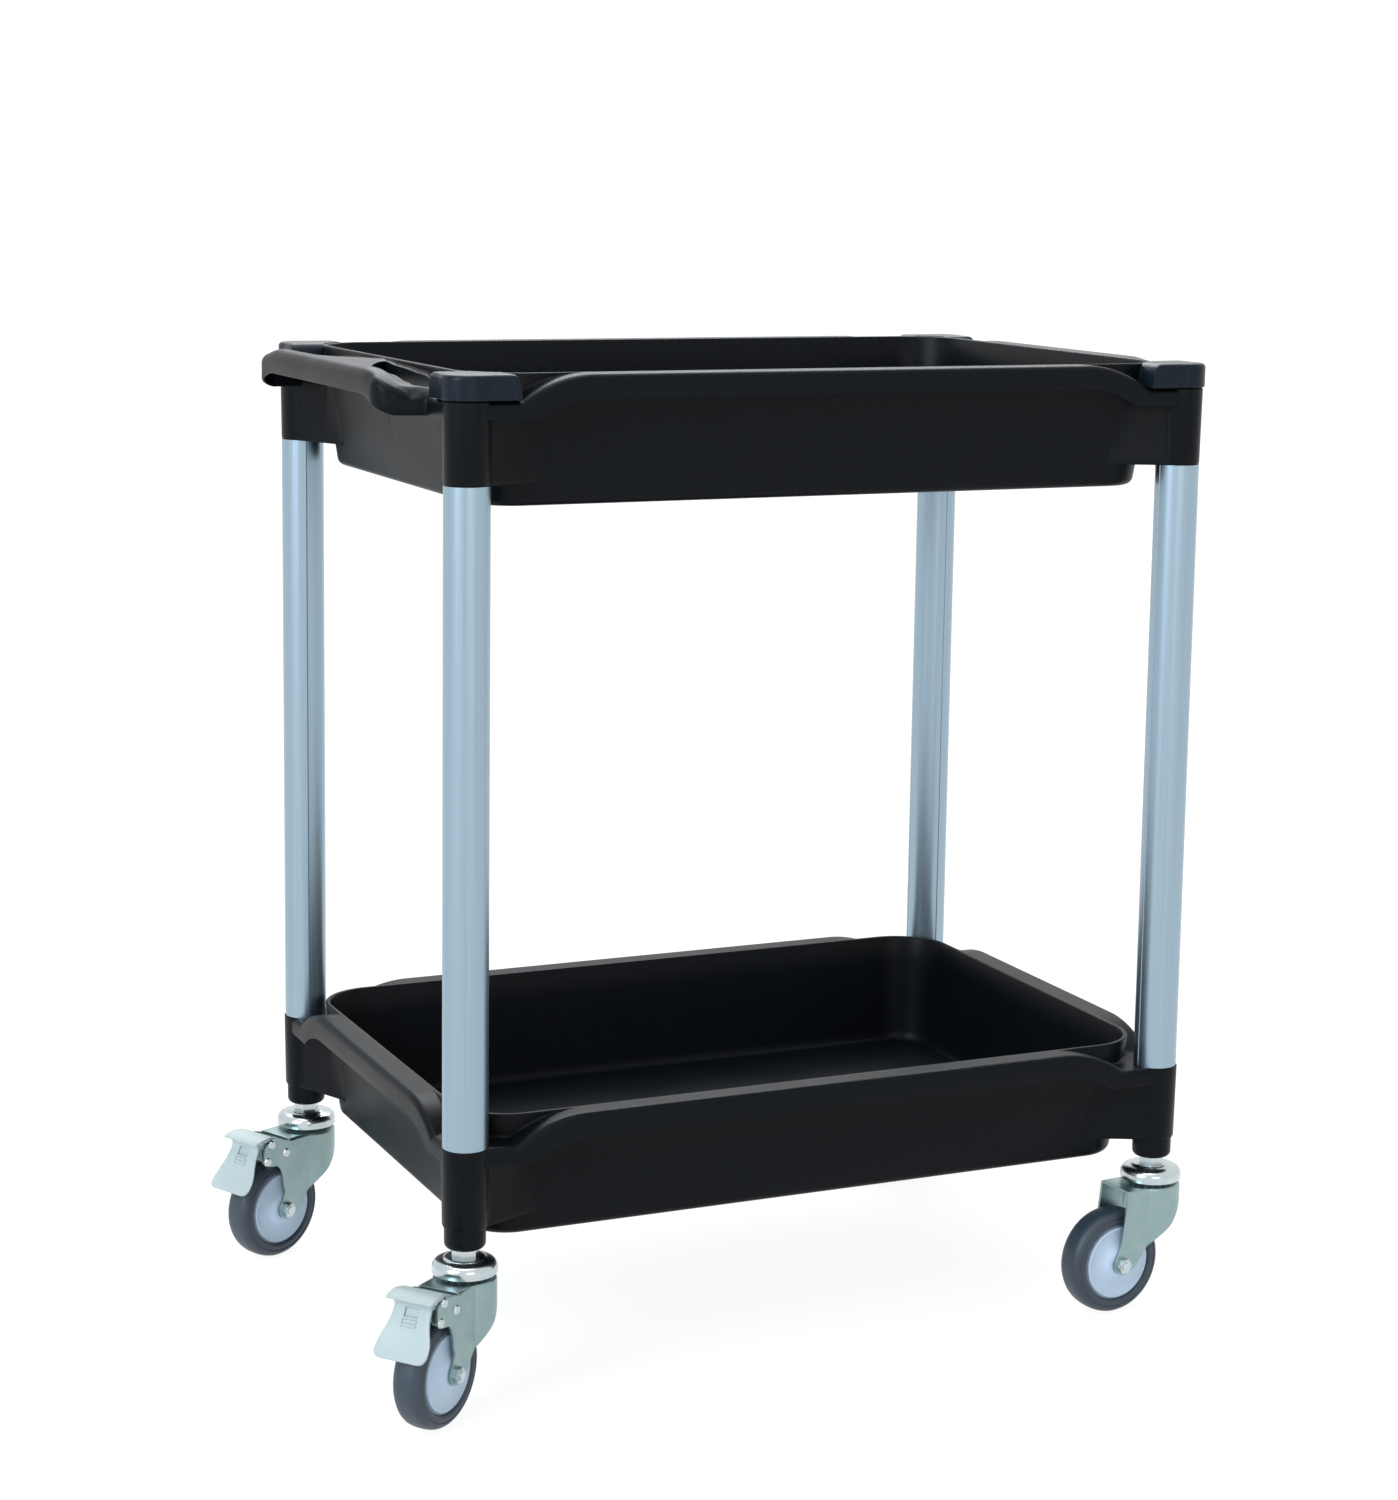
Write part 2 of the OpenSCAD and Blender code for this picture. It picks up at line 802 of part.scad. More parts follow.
module fork_rivets(c) {
  color("#ccd2d5")
    at_caster(c) {
      rivet(pivot, pin_r, fork_out + 0.5);
      for (p = [rivet_a, rivet_b])
        for (s = [-1, 1])
          intersection() {
            rivet(p, pin_r, fork_out + 0.5);
            translate([p[0] - 10, s > 0 ? fork_in : -fork_in - 20, p[1] - 10]) cube(20);
          }
    }
}

upper_tray();
lower_tray();
upper_inserts();
lower_inserts();
cap_bolts();
caster_stems();
for (c = corners) {
  tube(c);
  corner_cap(c);
  swivel_head(c);
  fork(c);
  bearing_balls(c);
  axle_bolt(c);
  axle_nut(c);
  axle_sleeve(c);
  tyre(c);
  hub(c);
  hub_covers(c);
  if (is_braked(c)) {
    pedal(c);
    brake_cam(c);
    fork_rivets(c);
  }
}
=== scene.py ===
import json
import math

import bmesh
import bpy
from mathutils import Matrix, Vector


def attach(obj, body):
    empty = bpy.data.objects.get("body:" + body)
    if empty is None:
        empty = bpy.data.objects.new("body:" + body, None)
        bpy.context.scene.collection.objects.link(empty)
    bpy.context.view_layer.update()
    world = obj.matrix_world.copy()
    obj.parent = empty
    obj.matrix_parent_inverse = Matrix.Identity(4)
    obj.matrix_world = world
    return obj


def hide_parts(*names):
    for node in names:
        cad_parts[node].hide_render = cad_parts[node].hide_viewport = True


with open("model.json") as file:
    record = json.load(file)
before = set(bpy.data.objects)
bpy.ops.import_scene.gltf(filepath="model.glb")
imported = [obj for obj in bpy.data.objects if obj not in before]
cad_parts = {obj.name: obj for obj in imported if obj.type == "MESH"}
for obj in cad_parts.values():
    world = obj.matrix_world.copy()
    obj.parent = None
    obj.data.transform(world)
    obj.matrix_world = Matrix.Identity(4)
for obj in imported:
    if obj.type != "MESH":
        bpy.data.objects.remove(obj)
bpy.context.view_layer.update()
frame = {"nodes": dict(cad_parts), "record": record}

mm = 0.001
planShift = Vector((0.036, 0.0285, 0.0))   # middle of the four legs, in metres
tolerance = 0.01                           # millimetres, for points that lie on a limit
print("frame loaded:", len(frame["nodes"]), "nodes")


def linear(hexColour):
    # sRGB hex colour to the linear values that shaders take
    parts = [int(hexColour[i:i + 2], 16) / 255 for i in (1, 3, 5)]
    return [c / 12.92 if c <= 0.04045 else ((c + 0.055) / 1.055) ** 2.4 for c in parts] + [1.0]


def addNode(tree, kind, values=None, links=None, **settings):
    node = tree.nodes.new("ShaderNode" + kind)
    for name, value in settings.items():
        setattr(node, name, value)
    for socket, value in (values or {}).items():
        node.inputs[socket].default_value = value
    for socket, source in (links or {}).items():
        tree.links.new(source, node.inputs[socket])
    return node


def waves(size):
    # a pattern's scale, from the width of its features in millimetres
    return 1 / (size * mm)


def startMaterial(name):
    material = bpy.data.materials.new(name)
    material.use_nodes = True
    tree = material.node_tree
    tree.nodes.clear()
    output = addNode(tree, "OutputMaterial")
    shader = addNode(tree, "BsdfPrincipled")
    tree.links.new(shader.outputs["BSDF"], output.inputs["Surface"])
    where = addNode(tree, "TexCoord").outputs["Object"]
    return material, tree, shader, where


def finishMaterial(tree, shader, look, patterns, uneven, strength, depth):
    # patterns for colour, roughness and height: the roughness varies by the uneven values about its
    # own, and the height is a bump this many millimetres deep. A bevel on small edges catches the
    # light as a moulding's or a pressing's rounded ones do
    tint, gloss, height = patterns
    colours = {6: linear(look["dark"]), 7: linear(look["light"])}
    mixed = addNode(tree, "Mix", colours, {0: tint}, data_type="RGBA")
    tree.links.new(mixed.outputs[2], shader.inputs["Base Color"])
    limits = {"To Min": look["roughness"] - uneven[0], "To Max": look["roughness"] + uneven[1]}
    rough = addNode(tree, "MapRange", limits, {"Value": gloss})
    tree.links.new(rough.outputs["Result"], shader.inputs["Roughness"])
    bump = addNode(tree, "Bump", {"Strength": strength, "Distance": depth * mm}, {"Height": height})
    if look["edge"]:
        bevel = addNode(tree, "Bevel", {"Radius": look["edge"] * mm}, samples=4)
        tree.links.new(bevel.outputs["Normal"], bump.inputs["Normal"])
    tree.links.new(bump.outputs["Normal"], shader.inputs["Normal"])


def mouldedPlastic(name, look):
    # injection-moulded polypropylene or nylon with a spark-eroded skin: dull sheen broken up by pits.
    # Real pits are about 0.1 mm wide, too fine to show here, so they are drawn grainSize wide
    material, tree, shader, where = startMaterial(name)
    shader.inputs["IOR"].default_value = 1.49
    shader.inputs["Specular IOR Level"].default_value = look["specular"]
    cloud = addNode(tree, "TexNoise", {"Scale": waves(60), "Detail": 2.0}, {"Vector": where})
    pits = {"Scale": waves(look["grainSize"]), "Detail": 2.0, "Roughness": 0.6}
    grain = addNode(tree, "TexNoise", pits, {"Vector": where}).outputs["Fac"]
    patches = addNode(tree, "MapRange", {"From Min": 0.35, "From Max": 0.65}, {"Value": grain})
    patterns = (patches.outputs["Result"], cloud.outputs["Fac"], grain)
    finishMaterial(tree, shader, look, patterns, uneven=(0.05, 0.07), strength=look["pitting"], depth=0.25)
    return material


def anodisedAluminium(name, look):
    # drawn tube, satin anodised: soft lengthwise streaks under a clear oxide skin. Real drawing lines
    # are about 0.2 mm wide, too fine to show here, so they are drawn 1.2 mm wide
    material, tree, shader, where = startMaterial(name)
    shader.inputs["Metallic"].default_value = 1.0
    stretched = addNode(tree, "Mapping", {"Scale": (1.0, 1.0, 0.004)}, {"Vector": where})
    along = {"Vector": stretched.outputs["Vector"]}
    streak = addNode(tree, "TexNoise", {"Scale": waves(1.2), "Detail": 3.0}, along).outputs["Fac"]
    patterns = (streak, streak, streak)
    finishMaterial(tree, shader, look, patterns, uneven=(0.04, 0.06), strength=0.12, depth=0.05)
    return material


def zincPlatedSteel(name, look):
    # pressed or turned steel with a blue-passivated zinc coat: bright, faintly blue and green, with
    # a mottled film. Its crystals are under 0.1 mm, too fine to show here, so they are 1.5 mm wide
    material, tree, shader, where = startMaterial(name)
    shader.inputs["Metallic"].default_value = 1.0
    film = addNode(tree, "TexNoise", {"Scale": waves(14), "Detail": 1.0}, {"Vector": where})
    fleck = addNode(tree, "TexNoise", {"Scale": waves(1.5), "Detail": 2.0}, {"Vector": where})
    patterns = (film.outputs["Fac"], fleck.outputs["Fac"], fleck.outputs["Fac"])
    finishMaterial(tree, shader, look, patterns, uneven=(0.05, 0.08), strength=0.1, depth=0.06)
    return material


def mouldedRubber(name, look):
    # thermoplastic rubber tyre: matt and dusty, with faint scuffs. The moulded skin's own grain is
    # about 0.2 mm wide, too fine to show here, so it is drawn 1 mm wide
    material, tree, shader, where = startMaterial(name)
    shader.inputs["IOR"].default_value = 1.52
    scuffs = {"Scale": waves(6), "Detail": 5.0, "Roughness": 0.65}
    scuff = addNode(tree, "TexNoise", scuffs, {"Vector": where}).outputs["Fac"]
    grain = addNode(tree, "TexNoise", {"Scale": waves(1), "Detail": 2.0}, {"Vector": where})
    patterns = (scuff, scuff, grain.outputs["Fac"])
    finishMaterial(tree, shader, look, patterns, uneven=(0.08, 0.08), strength=0.25, depth=0.15)
    return material


# the colours are sRGB, the edge and grain sizes millimetres
trayPlastic = mouldedPlastic("black polypropylene, moulded", {
    "dark": "#06090c", "light": "#0d1115", "roughness": 0.36, "specular": 0.1,
    "edge": 0.0, "grainSize": 1.6, "pitting": 0.35})
capPlastic = mouldedPlastic("black polypropylene, smooth", {
    "dark": "#0c141c", "light": "#121d27", "roughness": 0.32, "specular": 0.16,
    "edge": 0.0, "grainSize": 2.0, "pitting": 0.12})
hubPlastic = mouldedPlastic("grey polypropylene hub", {
    "dark": "#7f899a", "light": "#8d97a8", "roughness": 0.45, "specular": 0.5,
    "edge": 0.5, "grainSize": 2.0, "pitting": 0.08})
coverPlastic = mouldedPlastic("lilac grey polypropylene cover", {
    "dark": "#bfd2e3", "light": "#c3d6e7", "roughness": 0.4, "specular": 0.5,
    "edge": 0.5, "grainSize": 2.5, "pitting": 0.05})
pedalPlastic = mouldedPlastic("pale grey nylon pedal", {
    "dark": "#abb9b7", "light": "#b0bdbb", "roughness": 0.42, "specular": 0.5,
    "edge": 0.8, "grainSize": 2.0, "pitting": 0.06})
insertPlastic = mouldedPlastic("dark nylon insert", {
    "dark": "#33373c", "light": "#3d4147", "roughness": 0.5, "specular": 0.5,
    "edge": 0.0, "grainSize": 2.0, "pitting": 0.1})
tubeMetal = anodisedAluminium("satin anodised aluminium", {
    "dark": "#8fa5b3", "light": "#a3b8c6", "roughness": 0.34, "edge": 0.0})
pressedZinc = zincPlatedSteel("pressed steel, blue zinc", {
    "dark": "#84a0a2", "light": "#9daeac", "roughness": 0.34, "edge": 0.9})
brightZinc = zincPlatedSteel("turned steel, bright zinc", {
    "dark": "#b4c6cc", "light": "#cdd0cf", "roughness": 0.2, "edge": 0.4})
tyreRubber = mouldedRubber("grey thermoplastic rubber", {
    "dark": "#27333e", "light": "#35424e", "roughness": 0.46, "edge": 0.0})

finishes = {
    "tray_plastic": trayPlastic,
    "cap_plastic": capPlastic,
    "tube_aluminium": tubeMetal,
    "zinc_steel": pressedZinc,
    "bolt_steel": brightZinc,
    "ball_steel": brightZinc,
    "tyre_rubber": tyreRubber,
    "hub_plastic": hubPlastic,
    "cover_plastic": coverPlastic,
    "pedal_plastic": pedalPlastic,
    "insert_plastic": insertPlastic,
}
for entry in frame["record"]["subparts"]:
    node = frame["nodes"][entry["node"]]
    node.data.materials.clear()
    node.data.materials.append(finishes[entry["material_slot"]])
for name, node in frame["nodes"].items():
    if name.startswith("swivel_head") or name == "caster_stems":
        node.data.materials[0] = brightZinc
print("finishes given:", len(finishes))


def rounded(bm, creaseAngle=35):
    # smooth faces, creased wherever two of them meet sharply
    for face in bm.faces:
        face.smooth = True
    for edge in bm.edges:
        sharp = len(edge.link_faces) == 2 and edge.calc_face_angle(0) > math.radians(creaseAngle)
        edge.smooth = not sharp


def makePiece(name, bm, material, creaseAngle=35):
    bmesh.ops.recalc_face_normals(bm, faces=bm.faces)
    rounded(bm, creaseAngle)
    mesh = bpy.data.meshes.new(name)
    bm.to_mesh(mesh)
    bm.free()
    mesh.materials.append(material)
    piece = bpy.data.objects.new(name, mesh)
    bpy.context.scene.collection.objects.link(piece)
    return piece


def skin(rings, loop=False):
    # quads between rings of equal length; flat ends, or the last ring joined to the first
    bm = bmesh.new()
    rows = [[bm.verts.new(Vector(p) * mm) for p in ring] for ring in rings]
    pairs = list(zip(rows, rows[1:]))
    if loop:
        pairs.append((rows[-1], rows[0]))
    else:
        bm.faces.new(rows[0])
        bm.faces.new(rows[-1])
    count = len(rows[0])
    for low, high in pairs:
        for i in range(count):
            k = (i + 1) % count
            bm.faces.new((low[i], low[k], high[k], high[i]))
    return bm


def combine(target, others, operation):
    # exact join or cut, after which the other pieces are gone
    for other in others:
        step = target.modifiers.new("combine", "BOOLEAN")
        step.operation = operation
        step.solver = "MANIFOLD"
        step.object = other
        graph = bpy.context.evaluated_depsgraph_get()
        result = bpy.data.meshes.new_from_object(target.evaluated_get(graph))
        target.modifiers.clear()
        target.data = result
        bpy.data.objects.remove(other)
    bm = bmesh.new()
    bm.from_mesh(target.data)
    rounded(bm)
    bm.to_mesh(target.data)
    bm.free()


def onCircle(centre, radius, angle):
    return (centre[0] + radius * math.cos(angle), centre[1] + radius * math.sin(angle))


def smoothStep(t):
    t = min(max(t, 0.0), 1.0)
    return t * t * (3 - 2 * t)


def steps(start, end, count):
    # evenly spaced values from start up to, but without, end
    return [start + (end - start) * i / count for i in range(count)]


trayForm = {
    "upperDeck": 877.0, "lowerDeck": 236.0,  # heights of the two decks above the ground
    "legX": 347.5, "legY": 230.0,            # leg axes from the middle of the tray
    "rim": 22.0, "depth": 92.0,              # above and below the deck
    "wall": 4.5, "floor": 4.0, "plate": 3.5, "skirt": 3.0,
    "cornerRadius": 50.0, "draft": 13.5,     # basin's corner at the rim, and how much it is less below
    "wallAngle": 8.0,                        # lean of the wall where its roundings end, in degrees
    "rimEnd": 27.5, "rimSide": 25.5,         # from the tray's end and side faces in to the basin
    "overhang": 18.0, "skirtLow": 16.0,      # faces beyond the leg axes, skirt's foot below the deck
    "kinkX": 43.0, "kinkY": 38.0, "wave": 66.0,   # where the wave ends, from the leg axes, and its length
    # roundings of the rim's inner and outer edge, wall into plate, plate's edge, underside and hem
    "lip": 1.6, "outerLip": 1.4, "shoulder": 3.0, "edge": 6.0, "foot": 8.0, "hem": 1.0,
    "insideFoot": 6.0, "insideRun": 5.0,     # rounding of floor into wall, its centre from the wall
    "insideLevels": (-78.0, -40.0, -5.0), "outsideLevels": (-25.0, -60.0),   # slices of the wall
    # inside the skirt: bevel of its foot, least heights of its face and of the ceiling above the foot
    "skirtBevel": 0.8, "skirtFace": 4.0, "ceiling": 4.2, "underStep": 1.0,
}
handleForm = {
    "reach": 61.0, "straight": 157.0,        # bar beyond the leg axes, half length of its straight part
    "endRound": 20.0, "endLean": 3.4,        # corner of the bar and lean of its end face
    "endCorner": 4.0,                        # rounding from the end face into the tray's face
    # rounding of the bar's outer edge, how far past the hole it ends and over what length it fades
    "edge": 12.0, "edgePast": 2.0, "edgeFade": 25.0,
    # hand hole along the bar: start, length of its leaning side and end; its far side and its width
    "holeStart": 12.0, "holeLean": 46.0, "holeEnd": 172.0, "holeFar": -1.5, "holeWidth": 25.0,
    "holeTip": 0.3,                          # least width, at both ends
    # height of the hole's edge at distances from the middle of the bar
    "rimHeights": ((0, 19.5), (15, 19.0), (45, 17.0), (60, 16.5), (109, 14.0), (146, 10.0), (165, 8.2),
                   (176, 6.5)),
    "dish": 24.0, "endSlope": 13.0,          # the dish's spread from the hole, to the bar and to the leg
    # how much earlier the wave falls on the leg side of the bar, and from where, over what length
    "fall": 0.64, "fallEdge": 5.0, "fallFrom": 140.0, "fallOver": 35.0,
    # collar under the hole: width, foot above the deck, slope, and how far it goes past the hole's ends
    "collar": 2.5, "collarFoot": 3.0, "collarSlope": 0.4, "collarBefore": 5.0, "collarAfter": 1.2,
}
tf = trayForm
arcX = tf["legX"] + tf["overhang"] - tf["rimEnd"] - tf["cornerRadius"]
arcY = tf["legY"] + tf["overhang"] - tf["rimSide"] - tf["cornerRadius"]
crestX = tf["legX"] - tf["kinkX"] - tf["wave"]
crestY = tf["legY"] - tf["kinkY"] - tf["wave"]
waveRadius = (tf["wave"] ** 2 + tf["rim"] ** 2) / (2 * tf["rim"])


def innerRadius(z):
    # corner radius of the basin at a height above the deck; the wall leans in towards the floor
    return tf["cornerRadius"] - tf["draft"] * (tf["rim"] - z) / (tf["rim"] + tf["depth"])


def outerRadius(z):
    return innerRadius(z) + tf["wall"]


def waveTop(x, y):
    # height of the plate: level with the rim, falling in one arc to the deck near each leg
    top = 0.0
    for past in (abs(x) - crestX, abs(y) - crestY):
        if past <= 0:
            return tf["rim"]
        if past < tf["wave"]:
            top = max(top, tf["rim"] - waveRadius + math.sqrt(waveRadius ** 2 - past ** 2))
    return top


def skirtFoot(x, y):
    # lower edge of the skirt, which runs along below the wave
    radius = waveRadius - tf["rim"]
    foot = -tf["skirtLow"]
    for past in (abs(x) - crestX, abs(y) - crestY):
        if past <= 0:
            return 0.0
        if past < radius:
            foot = max(foot, math.sqrt(radius ** 2 - past ** 2) - radius)
    return foot


def holeBounds(u):
    # far and near edge of a hand hole, beyond the leg axes, at a distance u from the middle of the bar
    h = handleForm
    r = h["holeWidth"] / 2
    lean = min(max((u - h["holeStart"]) / h["holeLean"], 0.0), 1.0)
    near = h["holeFar"] + max(h["holeTip"], h["holeWidth"] * (1 - (1 - lean) ** 2))
    past = (u - h["holeEnd"] + r) / r
    if past <= 0:
        return h["holeFar"], near
    half = max(h["holeTip"] / 2, r * math.sqrt(max(0.0, 1 - past * past)))
    return h["holeFar"] + r - half, h["holeFar"] + r + half


def holeStations():
    # distances from the middle at which the tray is drawn along the hand hole
    h = handleForm
    r = h["holeWidth"] / 2
    leaned = h["holeStart"] + h["holeLean"]
    ends = [h["holeEnd"] - r + r * math.sin(a) for a in steps(0, math.pi / 2, 12)]
    return steps(h["holeStart"], leaned, 16) + steps(leaned, h["holeEnd"] - r, 32) + ends + [h["holeEnd"]]


def holeOutline(side):
    edges = [(u, holeBounds(u)) for u in holeStations()]
    points = [(e[1], u) for u, e in edges] + [(e[0], u) for u, e in reversed(edges)]
    return [Vector((-tf["legX"] - x, side * u)) for x, u in points]


def nearest(point, outline):
    # distance from a point to a closed outline
    best = math.inf
    for a, b in zip(outline, outline[1:] + outline[:1]):
        run = b - a
        t = min(max((point - a).dot(run) / run.length_squared, 0.0), 1.0)
        best = min(best, (point - a - run * t).length)
    return best


def rimHeight(u):
    # height of the hole's edge along the bar
    pairs = handleForm["rimHeights"]
    for (u0, z0), (u1, z1) in zip(pairs, pairs[1:]):
        if u < u1:
            return z0 + (z1 - z0) * smoothStep((u - u0) / (u1 - u0))
    return pairs[-1][1]


holeOutlines = [holeOutline(-1), holeOutline(1)]


def handleTop(x, y):
    # the wave runs round the bar's end, and a dish leads from the bar down to each hand hole
    h = handleForm
    u = abs(y)
    out = -x - tf["legX"]
    turn = smoothStep((u - h["fallFrom"]) / h["fallOver"])
    past = u - crestY + h["fall"] * max(0.0, h["reach"] - h["fallEdge"] - out) * turn
    base = tf["rim"]
    if past > 0:
        base = tf["rim"] - waveRadius + math.sqrt(waveRadius ** 2 - min(past, tf["wave"]) ** 2)
    edge = rimHeight(u)
    slope = h["dish"] if base > edge else h["endSlope"]
    gap = nearest(Vector((x, y)), holeOutlines[0 if y < 0 else 1])
    return edge + (base - edge) * smoothStep(gap / slope)


def barEnd():
    # the bar's outline from the end of the hand hole round the corner and back to the rim
    h = handleForm
    middle = h["reach"] - h["endRound"]
    corner = h["endCorner"]
    first = math.asin((h["holeEnd"] - h["straight"]) / h["endRound"])
    points = [onCircle((middle, h["straight"]), h["endRound"], a) for a in steps(first, math.pi / 2, 7)[1:]]
    wide = h["straight"] + h["endRound"]
    faceEnd = Vector((tf["overhang"] + corner, wide + h["endLean"]))
    points += [tuple(Vector((middle, wide)).lerp(faceEnd, t)) for t in steps(0, 1, 9)]
    x, y = faceEnd.x, faceEnd.y + corner
    points += [(x - corner * math.sin(a), y - corner * math.cos(a)) for a in steps(0, math.pi / 2, 4)]
    points += [(tf["overhang"], y), (tf["overhang"], y + corner)]
    return points


def quadrant(withHandle):
    # wall centre, wall direction and outer point of each station, from the end to the long side
    stations = []
    radius = outerRadius(0)
    kinkX = tf["legX"] - tf["kinkX"]
    kinkY = tf["legY"] - tf["kinkY"]
    low = math.asin((kinkY - arcY) / radius)
    high = math.acos((kinkX - arcX) / radius)

    def straight(y, out):
        angle = math.asin(max(0.0, y - arcY) / radius)
        stations.append(((arcX, min(y, arcY)), angle, (tf["legX"] + out, y)))

    if withHandle:
        h = handleForm
        for y in steps(0, h["holeStart"], 3) + holeStations():
            past = max(0.0, y - h["straight"])
            straight(y, h["reach"] - h["endRound"] + math.sqrt(h["endRound"] ** 2 - past ** 2))
        first = math.asin((h["holeEnd"] - arcY) / radius)
        turn = barEnd()
        for i, (out, y) in enumerate(turn):
            angle = first + (low - first) * (i + 1) / (len(turn) + 1)
            stations.append(((arcX, arcY), angle, (tf["legX"] + out, y)))
    else:
        for y in steps(0, crestY, 8) + steps(crestY, arcY, 12) + steps(arcY, kinkY, 6):
            straight(y, tf["overhang"])
    path = [(tf["legX"] + tf["overhang"], y) for y in steps(kinkY, tf["legY"], 16)]
    for a in steps(0, math.pi / 2, 10):
        path.append(onCircle((tf["legX"], tf["legY"]), tf["overhang"], a))
    path += [(x, tf["legY"] + tf["overhang"]) for x in steps(tf["legX"], kinkX, 8)]
    for i, point in enumerate(path):
        stations.append(((arcX, arcY), low + (high - low) * i / len(path), point))
    for x in steps(kinkX, arcX, 6):
        stations.append(((arcX, arcY), math.acos((x - arcX) / radius), (x, tf["legY"] + tf["overhang"])))
    for x in steps(arcX, crestX, 14) + steps(crestX, 0, 8):
        stations.append(((x, arcY), math.pi / 2, (x, tf["legY"] + tf["overhang"])))
    stations.append(((0, arcY), math.pi / 2, (0, tf["legY"] + tf["overhang"])))
    return stations


def trayStations(withHandle):
    right = quadrant(False)
    left = quadrant(withHandle)
    ring = []
    quarters = ((right, 1, 1, False), (left, -1, 1, True), (left, -1, -1, False), (right, 1, -1, True))
    for part, sx, sy, backwards in quarters:
        turned = list(reversed(part)) if backwards else part
        # the stations on the middle lines belong to two quadrants and are kept once
        for centre, angle, point in turned[:-1]:
            ring.append((
                Vector((sx * centre[0], sy * centre[1])),
                Vector((sx * math.cos(angle), sy * math.sin(angle))),
                Vector((sx * point[0], sy * point[1]))))
    return ring


def trayColumn(centre, n, point, m, onHandle):
    # one station of the tray, from the basin floor over the rim and back to the underside
    f = tf
    h = handleForm
    column = []
    marks = {}
    top = handleTop if onHandle else waveTop
    u = abs(point.y)
    alongHole = onHandle and u < h["holeEnd"] + tolerance
    inHole = alongHole and u > h["holeStart"] - tolerance
    nearHole = onHandle and h["holeStart"] - h["collarBefore"] < u < h["holeEnd"] + h["collarAfter"]

    def onWall(radius, z):
        column.append(Vector((*(centre + n * radius), z)))

    def wallArc(angles, radius, r, z):
        # points of a rounding, from its centre at this distance along the wall's direction
        for a in angles:
            across, up = onCircle((radius, z), r, math.radians(a))
            onWall(across, up)

    low = -f["depth"]
    r = f["insideFoot"]
    wallArc(steps(-90, -f["wallAngle"], 6), innerRadius(low) - f["insideRun"], r, low + f["floor"] + r)
    for z in (*f["insideLevels"], f["rim"] - f["lip"]):
        onWall(innerRadius(z), z)
    wallArc((155, 130, 105), innerRadius(f["rim"]) + f["lip"], f["lip"], f["rim"] - f["lip"])
    z0 = top(*(centre + n * outerRadius(f["rim"])))
    gap = f["rim"] - z0
    roll = min(f["outerLip"], gap / 2)
    step = min(f["shoulder"], gap / 2)
    wallArc((90, 60, 30, 0), outerRadius(f["rim"]) - roll, roll, f["rim"] - roll)    # outer lip
    for a in (180, 210, 240, 270):                                # wall into plate
        z = z0 + step + step * math.sin(math.radians(a))
        onWall(outerRadius(z) + step + step * math.cos(math.radians(a)), z)
    begin = centre + n * (outerRadius(z0) + step)
    wide = f["edge"]
    if onHandle:
        wide += (h["edge"] - f["edge"]) * smoothStep((h["holeEnd"] + h["edgePast"] - u) / h["edgeFade"])
    end = point - m * wide
    far, near = 0.3, 0.31                                         # shares of the plate with no hole
    if alongHole:
        bounds = holeBounds(u)
        far, near = ((begin.x + f["legX"] + x) / (begin.x - end.x) for x in bounds)
    parts = [far / 3, far * 2 / 3, far, near] + [near + (1 - near) * i / 14 for i in range(1, 15)]
    for t in parts:
        if t == far:
            marks["topFar"] = len(column)
        p = begin.lerp(end, t)
        column.append(Vector((*p, top(*p))))
    for i in range(1, 9):                                         # rounded outer edge
        a = math.pi / 2 * i / 8
        p = point - m * wide * (1 - math.sin(a))
        column.append(Vector((*p, top(*p) - wide * (1 - math.cos(a)))))
    foot = skirtFoot(*point)
    face = column[-1].z
    for t in (0.5, 1.0):
        column.append(Vector((*point, face + (foot + f["hem"] - face) * t)))
    for a in (-45, -90):                                          # rounded hem
        p = point - m * f["hem"] * (1 - math.cos(math.radians(a)))
        column.append(Vector((*p, foot + f["hem"] * (1 + math.sin(math.radians(a))))))
    back = point - m * f["skirt"]
    column.append(Vector((*(back + m * f["skirtBevel"]), foot)))
    column.append(Vector((*back, foot + f["skirtBevel"])))
    column.append(Vector((*back, min(face, foot + f["skirtFace"]))))
    high = max(face, foot + f["ceiling"])
    for i in range(0, 5):                                         # under the edge
        a = math.pi / 2 * i / 4
        p = back - m * (wide - f["skirt"]) * (1 - math.cos(a))
        column.append(Vector((*p, high + (top(*p) - f["plate"] - high) * math.sin(a))))
    below = z0 - f["plate"]
    under = centre + n * (outerRadius(below) + f["underStep"] / 2)
    collar = h["collar"] / (begin - end).length
    hang = min(h["collarFoot"], below - f["underStep"]) if nearHole else None
    for t in (0.66, 0.33):
        p = begin.lerp(end, near + collar + (1 - near - collar) * t)
        column.append(Vector((*p, top(*p) - f["plate"])))
    for t, hangs in ((near + collar * 1.1, False), (near + collar, True), (near, True), (far, True)):
        if t == near:
            marks["lowNear"] = len(column)
        p = begin.lerp(end, t)
        column.append(Vector((*p, hang if hangs and nearHole else top(*p) - f["plate"])))
    column.append(Vector((*under, hang - h["collarSlope"] if nearHole else below)))
    onWall(outerRadius(below - f["underStep"]), column[-1].z - f["underStep"])
    for z in f["outsideLevels"]:
        onWall(outerRadius(z), z)
    r = f["foot"]
    wallArc(steps(-f["wallAngle"], -90, 6) + [-90], outerRadius(low) - r, r, low + r)
    return column, inHole, marks


